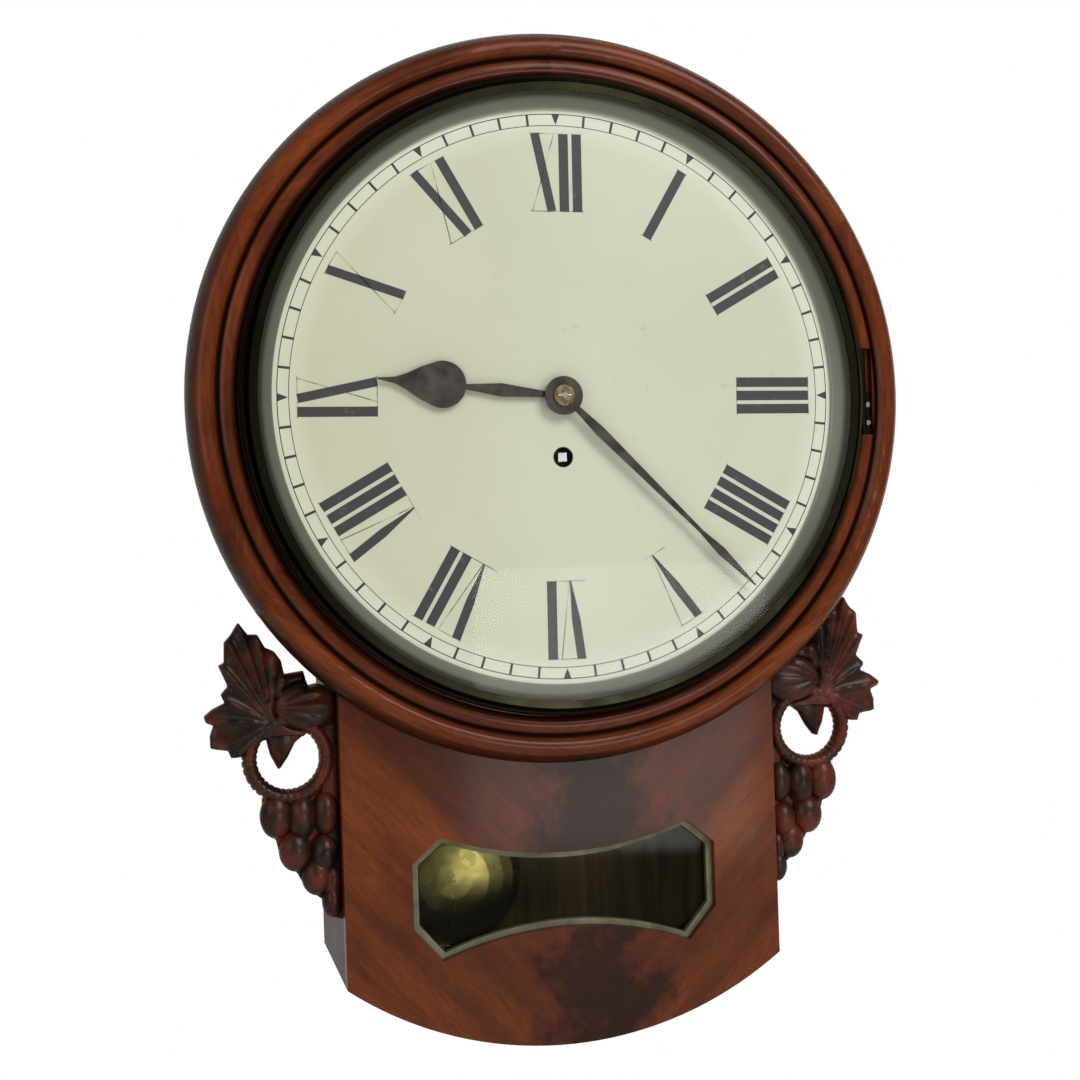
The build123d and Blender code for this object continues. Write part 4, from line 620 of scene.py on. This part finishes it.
LEAF = ((120.0, -150.0), (129.9, -147.5), (134.6, -148.4), (136.7, -140.6), (146.8, -141.8),
        (148.2, -134.3), (151.7, -129.4), (156.3, -127.2), (160.1, -120.3), (165.0, -120.1),
        (169.8, -113.5), (173.6, -119.7), (177.4, -123.8), (177.7, -134.2), (180.7, -136.0),
        (176.1, -146.9), (179.9, -151.1), (178.0, -155.5), (184.5, -158.5), (189.1, -162.2),
        (188.0, -165.0), (184.0, -166.8), (186.1, -172.4), (186.0, -178.4), (177.2, -180.2),
        (175.6, -184.0), (170.5, -183.6), (163.0, -177.0), (157.0, -176.0), (155.2, -184.0),
        (151.1, -192.2), (146.0, -185.5), (142.0, -178.0), (136.0, -173.4), (128.0, -172.5),
        (120.0, -172.0))
STALK = Vector((154.4, -166.4))
VEINS = [radians(a) for a in (-44, -24, 5, 29, 51, 64, 73.8, 83.5, 95, 108)]
BUD = Vector((135.5, -158.5))
GRID_MIDDLE = (155.0, -152.5)
GRID_STEP = 0.8
RING_CENTRE = (146.0, -186.0)
RING_RADIUS, ROPE_RADIUS, ROPE_NOTCHES = 20.3, 4.1, 34
RING_STANDOFF = 99.5
LEAF_BACK, GROUND_BACK = 95.5, 93.5


def outline_near(point):
    """Nearest point on the leaf's outline, its distance, and whether the point is inside."""
    best, place, inside = 1e9, point, False
    for start, end in zip(LEAF, LEAF[1:] + LEAF[:1]):
        a, b = Vector(start), Vector(end)
        along = max(0.0, min(1.0, (point - a).dot(b - a) / (b - a).length_squared))
        foot = a + (b - a) * along
        if (foot - point).length < best:
            best, place = (foot - point).length, foot
        if (a.y > point.y) != (b.y > point.y):
            if point.x < a.x + (b.x - a.x) * (point.y - a.y) / (b.y - a.y):
                inside = not inside
    return place, best, inside


def leaf_height(point, rim):
    """How far the carved leaf stands out from the wall at a point on its face."""
    from_stalk = point - STALK
    reach = from_stalk.length
    angle = atan2(from_stalk.y, from_stalk.x)
    ribs = [reach * abs(sin(angle - vein)) for vein in VEINS if cos(angle - vein) > 0]
    rib = min(ribs) if ribs else 6.0
    height = 104.5 + 2.4 * exp(-rib / 1.6) * min(1.0, reach / 10) - 1.6 * (reach / 50) ** 2
    q = ((point.x - BUD.x) / 17.0) ** 2 + ((point.y - BUD.y) / 12.6) ** 2
    if q < 1.0:
        fan = atan2(point.y - BUD.y, 151.0 - point.x)
        height = 103.5 + 5.5 * sqrt(1 - q) + 0.8 * cos(fan * 15.0) * (1 - q)
    elif q < 1.25 and point.y > -176:
        height -= 2.0 * (1.25 - q) / 0.25
    if point.y < -174 and abs(point.x - 150) < 12:
        height = 101.5 + 2.0 * exp(-abs(point.x - 151) / 2.5)
    return height - 2.2 * exp(-rim / 1.2)


def carve_ear(side, node, name):
    """One ear, 1 for the right and -1 for the left. A fine grid is cut to the leaf's
    outline and pushed out to its relief, then ring, spine, ground and grapes join it."""
    bpy.ops.object.select_all(action="DESELECT")
    across, tall = 72.0, 82.0
    bpy.ops.mesh.primitive_grid_add(x_subdivisions=int(across / GRID_STEP),
                                    y_subdivisions=int(tall / GRID_STEP), size=1)
    leaf = bpy.context.object
    carving = bmesh.new()
    carving.from_mesh(leaf.data)
    found = {}
    for vertex in carving.verts:
        point = Vector((GRID_MIDDLE[0] + vertex.co.x * across,
                        GRID_MIDDLE[1] + vertex.co.y * tall))
        foot, rim, inside = outline_near(point)
        found[vertex] = (point, foot, rim, inside)
    outside = [v for v in carving.verts
               if not found[v][3] and found[v][2] > GRID_STEP * 0.55]
    bmesh.ops.delete(carving, geom=outside, context="VERTS")
    for vertex in carving.verts:
        point, foot, rim, inside = found[vertex]
        if vertex.is_boundary or not inside:
            point, rim = foot, 0.0
        height = leaf_height(point, rim)
        vertex.co = spot(side * point.x, point.y, height)
    skirt = bmesh.ops.extrude_edge_only(carving, edges=[e for e in carving.edges
                                                        if e.is_boundary])
    for vertex in (v for v in skirt["geom"] if isinstance(v, bmesh.types.BMVert)):
        vertex.co.y = -LEAF_BACK * MM
    bmesh.ops.holes_fill(carving, edges=[e for e in carving.edges if e.is_boundary])
    bmesh.ops.remove_doubles(carving, verts=carving.verts, dist=0.00001)
    bmesh.ops.recalc_face_normals(carving, faces=carving.faces)
    carving.to_mesh(leaf.data)
    carving.free()
    parts = [leaf]

    bpy.ops.mesh.primitive_torus_add(major_segments=144, minor_segments=16,
                                     major_radius=RING_RADIUS * MM, minor_radius=ROPE_RADIUS * MM,
                                     location=spot(side * RING_CENTRE[0], RING_CENTRE[1],
                                                   RING_STANDOFF),
                                     rotation=(radians(90), 0, 0))
    ring = bpy.context.object
    for vertex in ring.data.vertices:
        angle = atan2(vertex.co.y, vertex.co.x)
        notch = 1 - 0.06 * max(0.0, cos(angle * ROPE_NOTCHES)) ** 3
        reach = hypot(vertex.co.x, vertex.co.y)
        from_middle = (reach - RING_RADIUS * MM) / (ROPE_RADIUS * MM)
        vertex.co.z *= 1.5 * notch
        vertex.co.x *= 1 + (notch - 1) * 0.6 * from_middle
        vertex.co.y *= 1 + (notch - 1) * 0.6 * from_middle
    parts.append(ring)

    bpy.ops.mesh.primitive_cube_add(size=1, location=spot(side * 124.6, -213, 97.8))
    spine = bpy.context.object
    spine.scale = (9.1 * MM, 9.6 * MM, 96 * MM)
    bpy.ops.object.transform_apply(location=False, rotation=False, scale=True)
    bevel = spine.modifiers.new("rounding", "BEVEL")
    bevel.width = 1.8 * MM
    bevel.segments = 3
    bpy.ops.object.modifier_apply(modifier="rounding")
    parts.append(spine)

    # The ground behind the grapes, left standing when they were cut.
    ground = bmesh.new()
    outline = ((120.0, -203.0), (160.0, -207.0), (160.5, -222.0), (153.5, -229.0),
               (151.0, -240.0), (143.0, -247.0), (139.0, -255.0), (130.0, -262.0),
               (127.0, -271.0), (120.0, -273.0))
    face = ground.faces.new([ground.verts.new(spot(side * x, y, RING_STANDOFF))
                             for x, y in outline])
    raised = bmesh.ops.extrude_face_region(ground, geom=[face])
    for vertex in raised["geom"]:
        if isinstance(vertex, bmesh.types.BMVert):
            vertex.co.y = -GROUND_BACK * MM
    bmesh.ops.recalc_face_normals(ground, faces=ground.faces)
    backing = bpy.data.objects.new(name + "_ground", bpy.data.meshes.new(name + "_ground"))
    ground.to_mesh(backing.data)
    ground.free()
    bpy.context.scene.collection.objects.link(backing)
    parts.append(backing)

    grapes = ((127.2, -216, 7.4, 12.0, 8.0), (140.0, -217, 7.8, 12.6, 9.0),
              (153.2, -216, 8.6, 12.0, 7.6), (128.6, -237, 7.8, 10.6, 8.4),
              (143.6, -235, 8.8, 11.0, 8.0), (124.8, -252, 5.4, 9.0, 6.4),
              (132.6, -249, 8.4, 10.4, 7.4), (125.0, -263, 5.6, 8.8, 6.6))
    for x, height, wide, tall_by, deep in grapes:
        bpy.ops.mesh.primitive_uv_sphere_add(segments=28, ring_count=18, radius=1,
                                             location=spot(side * x, height, 100.0))
        grape = bpy.context.object
        grape.scale = (wide * MM, deep * MM, tall_by * MM)
        parts.append(grape)

    bpy.ops.object.select_all(action="DESELECT")
    for part in parts:
        part.select_set(True)
    bpy.context.view_layer.objects.active = leaf
    bpy.ops.object.join()
    bpy.ops.object.transform_apply(location=True, rotation=True, scale=True)
    bpy.ops.object.shade_smooth_by_angle(angle=radians(50))
    ear = bpy.context.object
    ear.name = name
    ear.data.materials.clear()
    ear.data.materials.append(carved)
    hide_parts(node)
    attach(ear, "case")


carve_ear(-1, "left_ear", "left_ear_carving")
carve_ear(1, "right_ear", "right_ear_carving")
